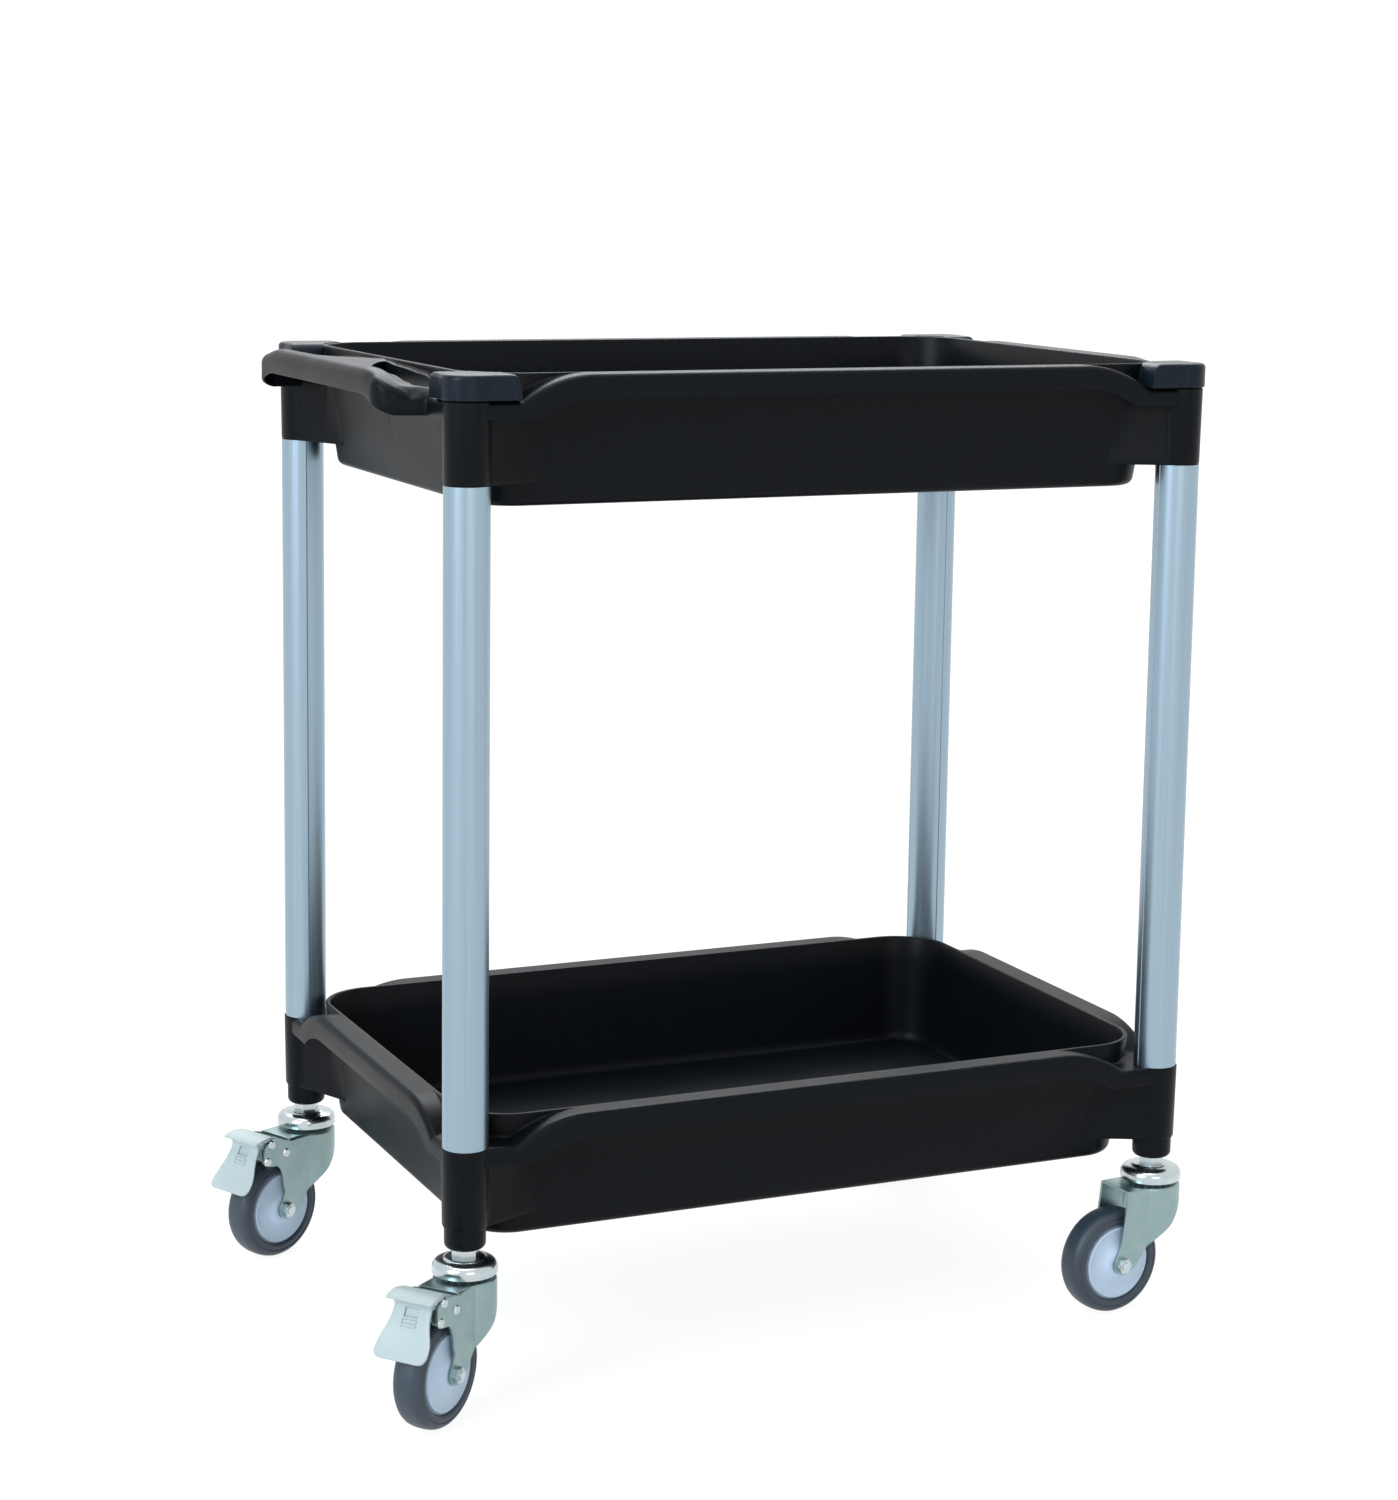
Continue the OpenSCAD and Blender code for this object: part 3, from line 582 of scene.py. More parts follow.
def trayShell(name, withHandle):
    stations = trayStations(withHandle)
    count = len(stations)
    columns = []
    holed = []
    for i, (centre, n, point) in enumerate(stations):
        run = stations[(i + 1) % count][2] - stations[i - 1][2]
        m = Vector((run.y, -run.x)).normalized()
        onHandle = withHandle and point.x < 0 and abs(point.y) < tf["legY"] - tf["kinkY"] + tolerance
        column, inHole, marks = trayColumn(centre, n, point, m, onHandle)
        columns.append(column)
        holed.append(inHole)
    bm = bmesh.new()
    grid = [[bm.verts.new(p * mm) for p in column] for column in columns]
    topFar, lowNear = marks["topFar"], marks["lowNear"]
    for i in range(count):
        a, b = grid[i], grid[(i + 1) % count]
        through = holed[i] and holed[(i + 1) % count]
        for r in range(len(a) - 1):
            if not (through and r in (topFar, lowNear)):
                bm.faces.new((a[r], b[r], b[r + 1], a[r + 1]))
        if through:
            bm.faces.new((a[topFar], b[topFar], b[lowNear + 1], a[lowNear + 1]))
            bm.faces.new((a[topFar + 1], b[topFar + 1], b[lowNear], a[lowNear]))
        for neighbour in (i - 1, (i + 1) % count):
            if holed[i] and not holed[neighbour]:
                bm.faces.new((a[topFar], a[topFar + 1], a[lowNear], a[lowNear + 1]))
    bm.faces.new([column[0] for column in grid])
    bm.faces.new([column[-1] for column in grid])
    return makePiece(name, bm, trayPlastic)


def revolve(name, profile, centre, material, segments=72):
    # profile of (radius, height) turned round a vertical axis, closed on itself
    rings = []
    for r, z in profile:
        rings.append([(*onCircle(centre, r, a), z) for a in steps(0, 2 * math.pi, segments)])
    return makePiece(name, skin(rings), material)


cornerForm = {
    "height": 70.5, "topRadius": 21.0, "footRadius": 20.0,
    "topGap": 0.02, "topBevel": 0.8, "footBevel": 0.7, "footEdge": 2.0, "taper": 0.1,
    "core": 0.01,                            # radius at which a turned profile closes
    "webFrom": (0, -20.2), "webTo": (76, 15.8),   # a web's front face, in from the leg's axis
    "webTop": -2.0, "webThickness": 3.0,
    "webBow": 1.6, "webRoot": 0.9,           # bow of the web, and more of it at the column
    "webHem": 0.9, "hemHeight": 5.0, "hemRound": 1.2,
    "bossRadius": 18.2, "bossHeight": 19.5, "bossRound": 5.0, "bossStep": 0.6,
}


def cornerColumn(sx, sy, withBoss, material):
    c = cornerForm
    foot = -c["height"]
    profile = [(c["core"], -c["topGap"]), (c["topRadius"] - c["topBevel"], -c["topGap"])]
    profile += [(c["topRadius"], -c["topBevel"]), (c["footRadius"] + c["taper"], foot + c["footEdge"])]
    profile += [(c["footRadius"] - c["footBevel"], foot)]
    if withBoss:
        base = foot - c["bossHeight"]
        r = c["bossRound"]
        profile += [(c["bossRadius"] + c["taper"], foot - c["bossStep"])]
        turn = steps(0, -math.pi / 2, 6) + [-math.pi / 2]
        profile += [onCircle((c["bossRadius"] - r, base + r), r, a) for a in turn]
        profile += [(c["core"], base)]
    else:
        profile += [(c["core"], foot)]
    return revolve("column", list(reversed(profile)), (sx * tf["legX"], sy * tf["legY"]), material)


def heldByWall(p, z):
    # a point in a leg's frame, kept from passing the middle of the basin wall's thickness
    centre = Vector((tf["legX"] - arcX, tf["legY"] - arcY))
    radius = innerRadius(z) + tf["wall"] / 2
    away = p - centre
    if away.x > 0:
        return Vector((p.x, min(p.y, centre.y - radius)))
    if away.y > 0:
        return Vector((min(p.x, centre.x - radius), p.y))
    return centre + away.normalized() * max(away.length, radius)


def cornerWeb(sx, sy, swapped, material):
    # thin wall from the column to the basin, bowed in a little, its lower edge thickened
    c = cornerForm
    a, b = c["webFrom"], c["webTo"]
    rings = []
    run = Vector((b[0] - a[0], b[1] - a[1])).normalized()
    inward = Vector((-run.y, run.x))
    low = -c["height"]
    thick = c["webThickness"]
    top = c["webTop"]
    for t in steps(0, 1, 14) + [1.0]:
        bow = c["webBow"] * 4 * t * (1 - t) + c["webRoot"] * (1 - smoothStep(t * 4))
        hem = c["webHem"] * smoothStep(t * 3) * smoothStep((1 - t) * 4)
        base = Vector(a).lerp(Vector(b), t) + inward * bow
        section = []
        outline = ((0, top), (0, low + c["hemHeight"]), (-hem, low + c["hemRound"]), (-hem / 2, low))
        for across, z in (*outline, (thick, low), (thick, top)):
            p = base + inward * across
            if swapped:
                p = Vector((p.y, p.x))
            p = heldByWall(p, z)
            section.append((sx * (tf["legX"] - p.x), sy * (tf["legY"] - p.y), z))
        rings.append(section)
    return makePiece("web", skin(rings), material)


def buildTray(name, node, deck, withHandle, withBoss):
    shell = trayShell(name, withHandle)
    extras = []
    for sx in (-1, 1):
        for sy in (-1, 1):
            extras.append(cornerColumn(sx, sy, withBoss, trayPlastic))
            extras.append(cornerWeb(sx, sy, False, trayPlastic))
            extras.append(cornerWeb(sx, sy, True, trayPlastic))
    combine(shell, extras, "UNION")
    for vertex in shell.data.vertices:
        vertex.co += planShift + Vector((0, 0, deck * mm))
    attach(shell, "cart")
    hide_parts(node)
    print(name, "built:", len(shell.data.vertices), "points")
    return shell


capForm = {
    "height": 22.5, "lift": 0.8,             # top and underside above the deck
    "round": 22.5, "face": 21.0,             # round part over the column, outer faces of the arms
    "armX": 42.0, "armY": 37.0,              # ends of the arms from the leg's axis
    "armFrom": 3.0, "armTo": 1.5,            # an arm's straight face, from the round part and from its end
    "tip": 2.0, "tipBevel": 0.4,             # corner of an arm's end
    "gap": 0.4,                              # to the basin's wall
    "edge": 4.0, "lean": 1.5, "endRound": 7.0, "endEase": 4.0, "soften": 0.6,
    "levels": (4, 8, 11, 13, 15, 17),        # slices of the side
}


def capRing(z, inset, back):
    # outline of a corner cap at one height, in the leg's frame with the basin towards +X and +Y
    c = capForm
    radius = outerRadius(tf["rim"]) + c["gap"]
    centre = Vector((tf["legX"] - arcX, tf["legY"] - arcY))
    endX = c["armX"] - back
    endY = c["armY"] - back
    face = c["face"] - inset
    turn = c["round"] - inset
    tip, bevel = c["tip"], c["tipBevel"]
    reach = math.sqrt(turn ** 2 - face ** 2)
    low = math.asin((centre.x - endX) / radius)
    high = math.acos((centre.y - endY) / radius)
    points = [(x, -face) for x in steps(endX - c["armTo"] - inset / 2, reach + c["armFrom"], 8)]
    first = -math.pi / 2 + math.asin(reach / turn)
    last = -math.pi - math.asin(reach / turn)
    points += [(turn * math.cos(a), turn * math.sin(a)) for a in steps(first, last, 20)]
    points += [(-face, y) for y in steps(reach + c["armFrom"], endY - c["armTo"] - inset / 2, 8)]
    points += [(-face + bevel, endY - bevel), (-face + tip, endY)]
    inner = [centre + radius * Vector((-math.sin(a), -math.cos(a))) for a in steps(high, low, 18)]
    points += [(-face + tip + (inner[0].x - tip + face) * t, endY) for t in (0.35, 0.7)]
    points += [(p.x, p.y) for p in inner]
    foot = centre + radius * Vector((-math.sin(low), -math.cos(low)))
    points += [(endX, foot.y + (tip - face - foot.y) * t) for t in (0, 0.35, 0.7)]
    points += [(endX, tip - face), (endX - bevel, bevel - face)]
    return [(x, y, z) for x, y in points]


def cornerCap(corner, sx, sy):
    c = capForm
    rings = []
    for a in (0, 45, 90):                    # softened lower edge
        inset = c["soften"] * (1 - math.sin(math.radians(a)))
        rings.append(capRing(c["lift"] + c["soften"] * (1 - math.cos(math.radians(a))), inset, inset))
    shoulder = c["height"] - c["edge"]
    turn = [shoulder + c["edge"] * math.sin(math.radians(a)) for a in (0, 15, 30, 45, 60, 75, 90)]
    rise = c["endRound"] + c["endEase"]
    for z in (*c["levels"], *turn):
        edge = max(0.0, z - c["height"] + c["edge"]) / c["edge"]
        end = max(0.0, z - c["height"] + rise) / rise
        inset = c["edge"] * (1 - math.sqrt(max(0.0, 1 - edge * edge)))
        back = c["lean"] * z / c["height"] + c["endRound"] * (1 - math.sqrt(max(0.0, 1 - end * end)))
        rings.append(capRing(z, inset, back))
    placed = []
    for ring in rings:
        atLeg = [(tf["legX"] - x, tf["legY"] - y, z + tf["upperDeck"]) for x, y, z in ring]
        placed.append([(sx * x, sy * y, z) for x, y, z in atLeg])
    cap = makePiece("cornerCap_" + corner, skin(placed), capPlastic, 50)
    for vertex in cap.data.vertices:
        vertex.co += planShift
    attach(cap, "cart")
    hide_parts("cap_" + corner)


buildTray("upperTrayShell", "upper_tray", tf["upperDeck"], True, False)
buildTray("lowerTrayShell", "lower_tray", tf["lowerDeck"], False, True)

# corner, its side along and across the cart, heading of the trail in degrees, whether it has a brake
casters = (
    ("front_left", -1, -1, 217.5, True), ("front_right", 1, -1, 186.0, False),
    ("back_left", -1, 1, 205.8, True), ("back_right", 1, 1, 195.0, False))
wheelForm = {
    "trail": 46.4, "axle": 50.0,             # axle behind the leg's axis and above the ground
    "radius": 50.0,
    # radius and distance from the wheel's middle plane
    "tyre": ((49.9, 3.5), (49.6, 6.3), (48.9, 9.0), (47.6, 11.3), (45.7, 13.1), (44.3, 13.8),
             (43.5, 13.8), (42.9, 13.3), (42.3, 13.4), (41.6, 14.0), (40.4, 14.4), (39.0, 14.4),
             (37.7, 14.0), (36.6, 13.2), (36.02, 12.2)),
    "cover": ((34.2, 12.0), (34.2, 13.2), (33.9, 13.9), (33.2, 14.3), (32.3, 14.3), (31.5, 13.9),
              (30.6, 13.6), (24.0, 13.7), (20.0, 14.2), (17.0, 15.2), (14.8, 16.7), (13.3, 17.8),
              (12.2, 18.3), (6.5, 18.3), (6.5, 15.5), (10.2, 15.5), (10.2, 12.0)),
}
headForm = {
    "radius": 28.75, "rim": 124.0, "top": 138.0,    # the rim and the top above the ground
    "bore": 6.05, "race": 13.0,              # radii of the hole and of the seat that holds the balls
    "raceDrop": 2.6, "ceiling": 1.4,         # seat below and underside above the rim
    "round": 6.8, "roundRise": 5.2, "roundTurn": 75,   # shoulder, its centre above the rim, its degrees
    # rolled lip: out from the radius, up from the rim
    "lip": ((-2.6, 0.4), (-1.9, 0.0), (-0.9, 0.0), (-0.2, 0.4), (0.0, 1.2)),
    # raised seat for the collar: radius, distance below the top
    "seat": ((21.5, 1.9), (19.4, 1.6), (18.4, 1.0), (17.6, 0.3), (16.6, 0.0)),
}


def turnedPiece(name, profile, aboutAxle, material, segments=120):
    # profile of (radius, height) turned round the axle or round the caster's upright axis
    rings = []
    for a in steps(0, 2 * math.pi, segments):
        if aboutAxle:
            turned = [onCircle((wheelForm["trail"], wheelForm["axle"]), r, a) + (h,) for r, h in profile]
            rings.append([(along, across, up) for along, up, across in turned])
        else:
            rings.append([(*onCircle((0, 0), r, a), h) for r, h in profile])
    return makePiece(name, skin(rings, True), material)


def standAt(piece, caster, body, node):
    # from the caster's own frame (back along the trail, across, up) to its place on the cart
    _, sx, sy, heading, _ = caster
    leg = Vector((sx * tf["legX"], sy * tf["legY"], 0)) * mm + planShift
    piece.data.transform(Matrix.Translation(leg) @ Matrix.Rotation(math.radians(heading), 4, "Z"))
    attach(piece, body)
    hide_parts(node)


def buildWheel(caster):
    corner = caster[0]
    side = wheelForm["tyre"]
    profile = [(r, -w) for r, w in reversed(side)] + [(wheelForm["radius"], 0.0)] + list(side)
    tyre = turnedPiece("tyreRound_" + corner, profile, True, tyreRubber, 144)
    standAt(tyre, caster, "wheel_" + corner, "tyre_" + corner)
    for way, mirrored in (("outer", 1), ("inner", -1)):
        profile = [(r, mirrored * w) for r, w in wheelForm["cover"]]
        cover = turnedPiece("cover_" + way + "_" + corner, profile, True, coverPlastic)
        standAt(cover, caster, "wheel_" + corner, "hub_covers_" + corner)


def buildHead(caster):
    # domed pressing with a rolled lip and a raised seat for the collar
    h = headForm
    r = h["radius"]
    rim = h["rim"]
    floor = rim - h["raceDrop"]
    ceiling = rim + h["ceiling"]
    profile = [(h["bore"], floor), (h["race"], floor), (h["race"], ceiling), (r + h["lip"][0][0], ceiling)]
    profile += [(r + out, rim + up) for out, up in h["lip"]]
    middle = (r - h["round"], rim + h["roundRise"])
    profile += [onCircle(middle, h["round"], a) for a in steps(0, math.radians(h["roundTurn"]), 8)]
    profile += [(radius, h["top"] - below) for radius, below in h["seat"]]
    profile += [(h["bore"], h["top"])]
    head = turnedPiece("swivelDome_" + caster[0], profile, False, brightZinc, 96)
    standAt(head, caster, "cart", "swivel_head_" + caster[0])


pedalForm = {
    # upper and lower face (back along the trail, up) and half width, from the flap's back to the foot
    "stations": (
        (62.1, 125.9, 62.4, 125.0, 19.8), (62.7, 126.9, 63.2, 124.95, 20.6),
        (64.2, 127.7, 64.8, 124.95, 20.9), (67.5, 128.4, 67.5, 124.95, 21.4),
        (71.0, 128.8, 70.5, 124.95, 23.4), (74.0, 128.9, 73.0, 124.95, 24.0),
        (79.0, 128.4, 75.5, 124.95, 24.0), (84.0, 127.3, 77.2, 124.9, 24.0),
        (87.4, 126.0, 77.6, 124.5, 24.0), (88.6, 124.9, 77.7, 124.1, 23.9),
        (88.5, 124.1, 77.75, 123.7, 23.7), (87.6, 123.7, 77.8, 123.2, 23.2),
        (83.4, 122.6, 77.9, 122.1, 19.3), (81.9, 118.9, 78.4, 118.2, 18.8),
        (82.3, 116.0, 79.5, 115.6, 18.8), (83.9, 112.6, 81.3, 112.4, 18.9),
        (86.3, 108.4, 83.6, 108.3, 19.5), (88.4, 104.0, 86.0, 103.9, 20.6),
        (90.6, 99.6, 88.5, 99.3, 22.2), (93.4, 94.8, 91.0, 95.0, 24.2),
        (96.2, 89.9, 93.6, 90.6, 25.7), (99.4, 86.0, 96.6, 86.4, 26.4),
        (102.2, 83.0, 99.4, 82.4, 26.4), (104.2, 80.9, 101.3, 79.7, 25.4),
        (105.5, 79.5, 102.5, 78.0, 23.6), (106.2, 78.7, 103.1, 77.1, 21.4),
        (106.5, 78.3, 103.4, 76.7, 19.0)),
    "edge": 1.5,
    "dish": 1.3, "dishFrom": 15, "dishOver": 5,     # depth of the foot's dish, and its stations
    "pivot": (66.0, 120.0), "lugRadius": 5.4, "pinHole": 3.1,
    "lug": (12.05, 17.95),                   # inner and outer face of a lug, across from the middle
    # rib that joins a lug to the flap (back and up from the pivot), a little thinner than the lug
    "bridge": ((-3, 2.5), (-2, 5.4), (14, 5.2), (14, -3), (4, -3.4)), "bridgeInset": 0.1,
    "neck": (13, 17),                        # stations between which the cuts run
    # recess and ladder of slots: from, to along the neck, half width range, depth
    "cuts": ((1.5, 9.6, -6.8, 6.8, 2.4), (11.2, 12.0, -6.6, 6.6, 0.8), (14.4, 15.2, -6.6, 6.6, 0.8),
             (17.6, 18.4, -6.6, 6.6, 0.8), (11.2, 18.4, -7.4, -6.6, 0.8), (11.2, 18.4, 6.6, 7.4, 0.8)),
    "cutAbove": 6,                           # how far a cutter stands out of the neck
}
through = 40                                 # half length of a cutter that goes across a whole caster


def pedalSection(station, dish):
    # one rounded slice across the pedal
    p = pedalForm
    upper = Vector(station[0:2])
    lower = Vector(station[2:4])
    wide = station[4]
    middle = (upper + lower) / 2
    half = (upper - lower) / 2
    flat = wide - p["edge"]
    outline = [(flat * (2 * i / 10 - 1), 1.0) for i in range(10)]
    outline += [(flat + p["edge"] * math.cos(a), math.sin(a)) for a in steps(math.pi / 2, -math.pi / 2, 8)]
    outline += [(-w, -level) for w, level in outline]
    section = []
    for w, level in outline:
        sunk = dish * (1 - (w / wide) ** 2)
        point = middle + half * level - half.normalized() * sunk
        section.append((point.x, w, point.y))
    return section


def block(name, outline, low, high, material):
    # outline of (trail, up) drawn out across the caster
    return makePiece(name, skin([[(x, y, z) for x, z in outline] for y in (low, high)]), material)


def disc(centre, radius, count=40):
    return [onCircle(centre, radius, a) for a in steps(0, 2 * math.pi, count)]


def buildPedal(caster):
    p = pedalForm
    rings = []
    for i, station in enumerate(p["stations"]):
        rings.append(pedalSection(station, p["dish"] * smoothStep((i - p["dishFrom"]) / p["dishOver"])))
    pedal = makePiece("footPedal_" + caster[0], skin(rings), pedalPlastic)
    x, z = p["pivot"]
    bridge = [(x + back, z + up) for back, up in p["bridge"]]
    inset = p["bridgeInset"]
    lugs = []
    for side in (-1, 1):
        low, high = sorted(side * face for face in p["lug"])
        lugs.append(block("lug", disc(p["pivot"], p["lugRadius"]), low, high, pedalPlastic))
        lugs.append(block("bridge", bridge, low + inset, high - inset, pedalPlastic))
    combine(pedal, lugs, "UNION")
    cuts = [block("pin", disc(p["pivot"], p["pinHole"]), -through, through, pedalPlastic)]
    start, end = (Vector(p["stations"][i][0:2]) for i in p["neck"])
    down = (end - start).normalized()
    out = Vector((-down.y, down.x))
    for begin, stop, low, high, depth in p["cuts"]:
        outline = ((begin, -depth), (stop, -depth), (stop, p["cutAbove"]), (begin, p["cutAbove"]))
        corners = [start + down * along + out * height for along, height in outline]
        cuts.append(block("cut", [(c.x, c.y) for c in corners], low, high, pedalPlastic))
    combine(pedal, cuts, "DIFFERENCE")
    standAt(pedal, caster, "pedal_" + caster[0], "pedal_" + caster[0])


forkForm = {
    "crown": 121.0, "radius": 28.0, "side": 21.5, "sheet": 2.5, "bend": 3.0,
    # where the uncut pressing's outer and inner faces stop (back along the trail, up)
    "outerEnd": (100, 38.0), "innerEnd": (110, 30.0),
    # front and rear edge of a leg (back along the trail, up), its round foot, and the brake's ear
    "front": ((-30.0, 112.0), (-20.0, 100.2), (-6.0, 84.2), (8.0, 73.6), (18.0, 64.0), (26.5, 52.6),
              (32.5, 45.6), (38.8, 42.0)),
    "rear": ((55.4, 53.0), (51.4, 61.0), (48.2, 71.0), (46.2, 86.0), (43.6, 104.0), (42.0, 118.0)),
    "foot": 9.5, "footArc": (247, 368),      # radius and degrees
    "ear": ((41.0, 70.0), (48.8, 70.0), (51.8, 86.0), (57.4, 96.2), (66.0, 98.2), (73.6, 100.2),
            (76.2, 105.0), (75.6, 112.0), (74.3, 118.4), (70.6, 122.6), (62.0, 123.8), (46.0, 120.8),
            (39.5, 117.5)),
    "holes": ((66.0, 120.0, 3.0), (47.0, 108.0, 3.0), (71.5, 104.0, 3.0)),
    "axleHole": 4.1, "stemHole": 6.06,       # radii
    # the block that cuts the legs' outline: half width and top; the stem's cutter: bottom and top
    "cutWidth": 30, "cutTop": 125.0, "stemCut": (110, 130),
}


def curveThrough(points, count):
    # smooth curve through all the points
    padded = [Vector(p) for p in (points[0], *points, points[-1])]
    path = []
    for a, b, c, d in zip(padded, padded[1:], padded[2:], padded[3:]):
        for t in steps(0, 1, count):
            p = b + (c - a) * t / 2 + (a * 2 - b * 5 + c * 4 - d) * t * t / 2
            path.append(tuple(p + (b * 3 - a - c * 3 + d) * t ** 3 / 2))
    return path + [tuple(padded[-1])]


def forkPlan(inset, end, z):
    # the bent sheet seen from above: round in front, straight sides behind
    f = forkForm
    r = f["radius"] - inset
    side = f["side"] - inset
    turn = math.asin(side / r)
    arc = [onCircle((0, 0), r, a) for a in steps(-turn, turn - 2 * math.pi, 40)]
    return [(x, y, z) for x, y in [(end, -side)] + arc + [(r * math.cos(turn), side), (end, side)]]


def buildFork(caster):
    # one bent sheet, cut to the outline of its legs, with an ear on each leg if there's a brake
    f = forkForm
    axle = (wheelForm["trail"], wheelForm["axle"])
    bend, sheet, side = f["bend"], f["sheet"], f["side"]
    small = bend - sheet
    outer = [forkPlan(0, *f["outerEnd"])]
    inner = [forkPlan(sheet, *f["innerEnd"])]
    for a in steps(0, 90, 5) + [90]:
        across, up = 1 - math.cos(math.radians(a)), math.sin(math.radians(a))
        outer.append(forkPlan(bend * across, f["outerEnd"][0], f["crown"] - bend + bend * up))
        inner.append(forkPlan(sheet + small * across, f["innerEnd"][0], f["crown"] - bend + small * up))
    fork = makePiece("pressedFork_" + caster[0], skin(outer), pressedZinc)
    combine(fork, [makePiece("inside", skin(inner), pressedZinc)], "DIFFERENCE")
    begin, end = (math.radians(a) for a in f["footArc"])
    outline = curveThrough(f["front"], 6) + [onCircle(axle, f["foot"], a) for a in steps(begin, end, 14)]
    outline += curveThrough(f["rear"], 6)
    outline += [(f["rear"][-1][0], f["cutTop"]), (f["front"][0][0], f["cutTop"])]
    combine(fork, [block("outline", outline, -f["cutWidth"], f["cutWidth"], pressedZinc)], "INTERSECT")
    holes = [(*axle, f["axleHole"])]
    if caster[4]:
        ear = curveThrough(f["ear"], 4)
        faces = ((-side, sheet - side), (side - sheet, side))
        combine(fork, [block("ear", ear, low, high, pressedZinc) for low, high in faces], "UNION")
        holes += f["holes"]
    cuts = [block("hole", disc((x, z), r), -through, through, pressedZinc) for x, z, r in holes]
    stem = [[(*corner, z) for corner in disc((0, 0), f["stemHole"], 48)] for z in f["stemCut"]]
    cuts.append(makePiece("stem", skin(stem), pressedZinc))
    combine(fork, cuts, "DIFFERENCE")
    standAt(fork, caster, "swivel_" + caster[0], "fork_" + caster[0])


for caster in casters:
    cornerCap(*caster[:3])
    buildWheel(caster)
    buildHead(caster)
    buildFork(caster)
    if caster[4]:
        buildPedal(caster)
print("corner caps and casters built")


def seenWhite(tree):
    # 1 for what the camera sees directly, in a reflection or through glass
    path = addNode(tree, "LightPath").outputs
    rays = {0: path["Is Camera Ray"], 1: path["Is Glossy Ray"]}
    direct = addNode(tree, "Math", None, rays, operation="MAXIMUM")
    rays = {0: direct.outputs[0], 1: path["Is Transmission Ray"]}
    return addNode(tree, "Math", None, rays, operation="MAXIMUM").outputs[0]


def buildStage(look):
    bpy.ops.mesh.primitive_plane_add(size=look["size"])
    floor = bpy.context.object
    floor.name = "floor"
    material = bpy.data.materials.new("white paper floor")
    material.use_nodes = True
    tree = material.node_tree
    tree.nodes.clear()
    paper = addNode(tree, "BsdfDiffuse", {"Color": linear(look["paper"])})
    white = addNode(tree, "Emission", {"Color": (1, 1, 1, 1), "Strength": look["white"]})
    # the paper's own shading, and with it the shadow, fades out away from the object
    where = addNode(tree, "TexCoord").outputs["Object"]
    away = addNode(tree, "VectorMath", None, {0: where}, operation="LENGTH")
    values = {
        "From Min": look["shadowReach"], "From Max": look["shadowEnd"],
        "To Min": look["share"], "To Max": 1.0}
    distance = {"Value": away.outputs["Value"]}
    fade = addNode(tree, "MapRange", values, distance, interpolation_type="SMOOTHSTEP")
    factors = {0: seenWhite(tree), 1: fade.outputs["Result"]}
    share = addNode(tree, "Math", None, factors, operation="MULTIPLY")
    shaders = {0: share.outputs[0], 1: paper.outputs[0], 2: white.outputs[0]}
    mixed = addNode(tree, "MixShader", None, shaders)
    addNode(tree, "OutputMaterial", None, {"Surface": mixed.outputs[0]})
    floor.data.materials.append(material)


def buildWorld(look):
    world = bpy.data.worlds.new("studio")
    bpy.context.scene.world = world
    world.use_nodes = True
    tree = world.node_tree
    tree.nodes.clear()
    dim = addNode(tree, "Background", {"Color": linear(look["colour"]), "Strength": look["strength"]})
    white = addNode(tree, "Background", {"Color": (1, 1, 1, 1), "Strength": 1.0})
    mixed = addNode(tree, "MixShader", None, {0: seenWhite(tree), 1: dim.outputs[0], 2: white.outputs[0]})
    addNode(tree, "OutputWorld", None, {"Surface": mixed.outputs[0]})


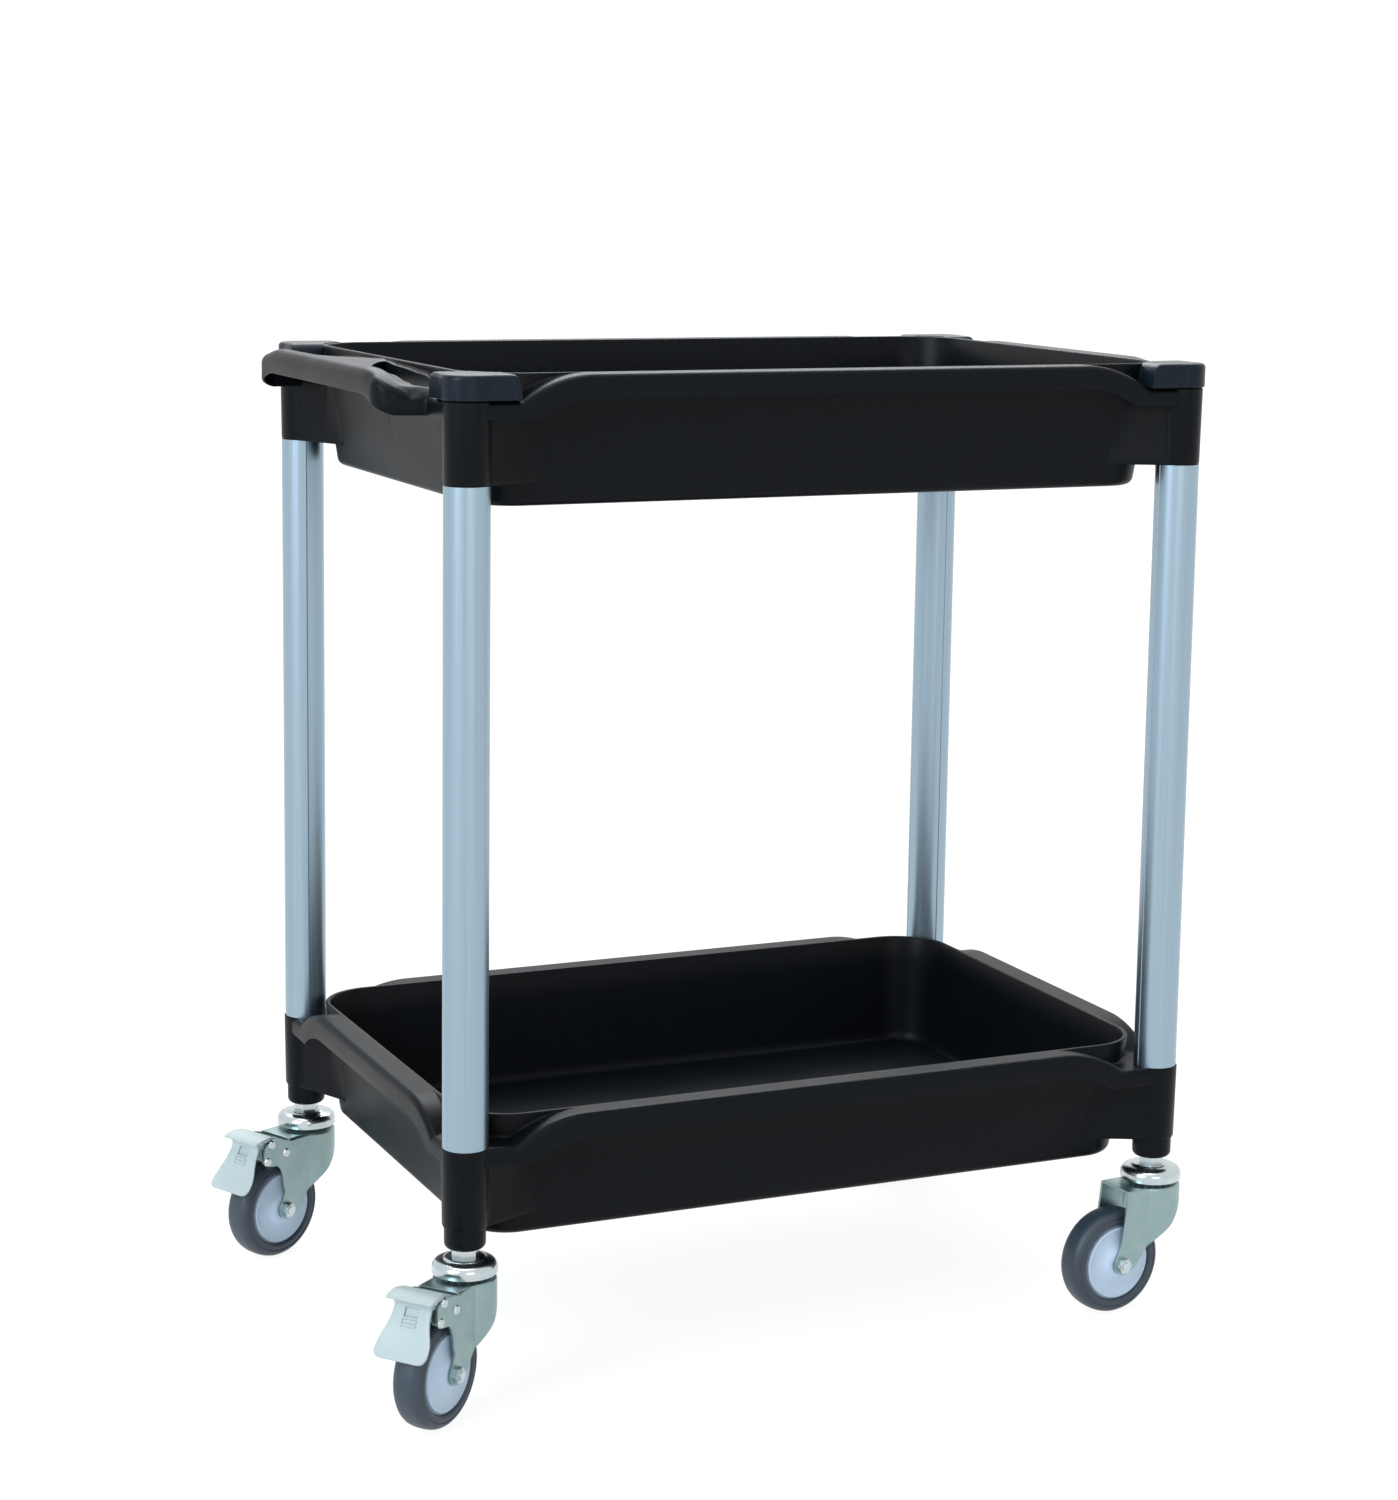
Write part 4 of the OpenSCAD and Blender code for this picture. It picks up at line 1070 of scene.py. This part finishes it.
def addSoftbox(name, place, aim, size, power, colour):
    lamp = bpy.data.lights.new(name, "AREA")
    lamp.shape = "RECTANGLE"
    lamp.size, lamp.size_y = size
    lamp.energy = power
    lamp.color = linear(colour)[:3]
    box = bpy.data.objects.new(name, lamp)
    bpy.context.scene.collection.objects.link(box)
    box.location = place
    box.rotation_euler = (Vector(aim) - Vector(place)).to_track_quat("-Z", "Y").to_euler()


cameraFit = {
    "place": (-1.24482, -2.68504, 1.07486),   # metres from the middle of the four legs
    "yaw": 24.309, "pitch": -8.964, "roll": 0.808,   # degrees
    "lens": 75.5, "sensor": 36,               # millimetres
    "shift": (0.00177, -0.0611),
}


def buildCamera(fit):
    data = bpy.data.cameras.new("camera")
    data.lens = fit["lens"]
    data.sensor_width = fit["sensor"]
    data.shift_x, data.shift_y = fit["shift"]
    camera = bpy.data.objects.new("camera", data)
    bpy.context.scene.collection.objects.link(camera)
    yaw, pitch, roll = (math.radians(fit[k]) for k in ("yaw", "pitch", "roll"))
    ahead = Vector((math.sin(yaw) * math.cos(pitch), math.cos(yaw) * math.cos(pitch), math.sin(pitch)))
    level = Vector((math.cos(yaw), -math.sin(yaw), 0))
    upright = level.cross(ahead)
    right = level * math.cos(roll) + upright * math.sin(roll)
    up = upright * math.cos(roll) - level * math.sin(roll)
    turn = Matrix((right, up, -ahead)).transposed().to_4x4()
    camera.matrix_world = Matrix.Translation(Vector(fit["place"]) + planShift) @ turn
    bpy.context.scene.camera = camera


# sizes, places and reaches in metres, lamps' powers in watts
buildStage({
    "size": 40, "paper": "#f4f5f6", "white": 1.12, "share": 0.82, "shadowReach": 0.7, "shadowEnd": 1.26})
buildWorld({"colour": "#eef2f6", "strength": 0.5})
addSoftbox("left softbox", (-3.3, -1.5, 2.3), (0, 0, 0.5), (1.4, 2.4), 106, "#e3efff")
addSoftbox("front fill", (-0.4, -3.9, 1.5), (0, 0, 0.5), (1.6, 1.6), 16, "#ffffff")
addSoftbox("rear softbox", (0.8, 2.3, 3.3), (0, 0, 0.7), (2.6, 2.6), 125, "#f6faff")
addSoftbox("top softbox", (-0.3, 0.0, 3.4), (0, 0, 0.6), (2.2, 1.8), 45, "#ffffff")
buildCamera(cameraFit)
print("studio built")

bpy.context.scene.view_settings.view_transform = "Standard"
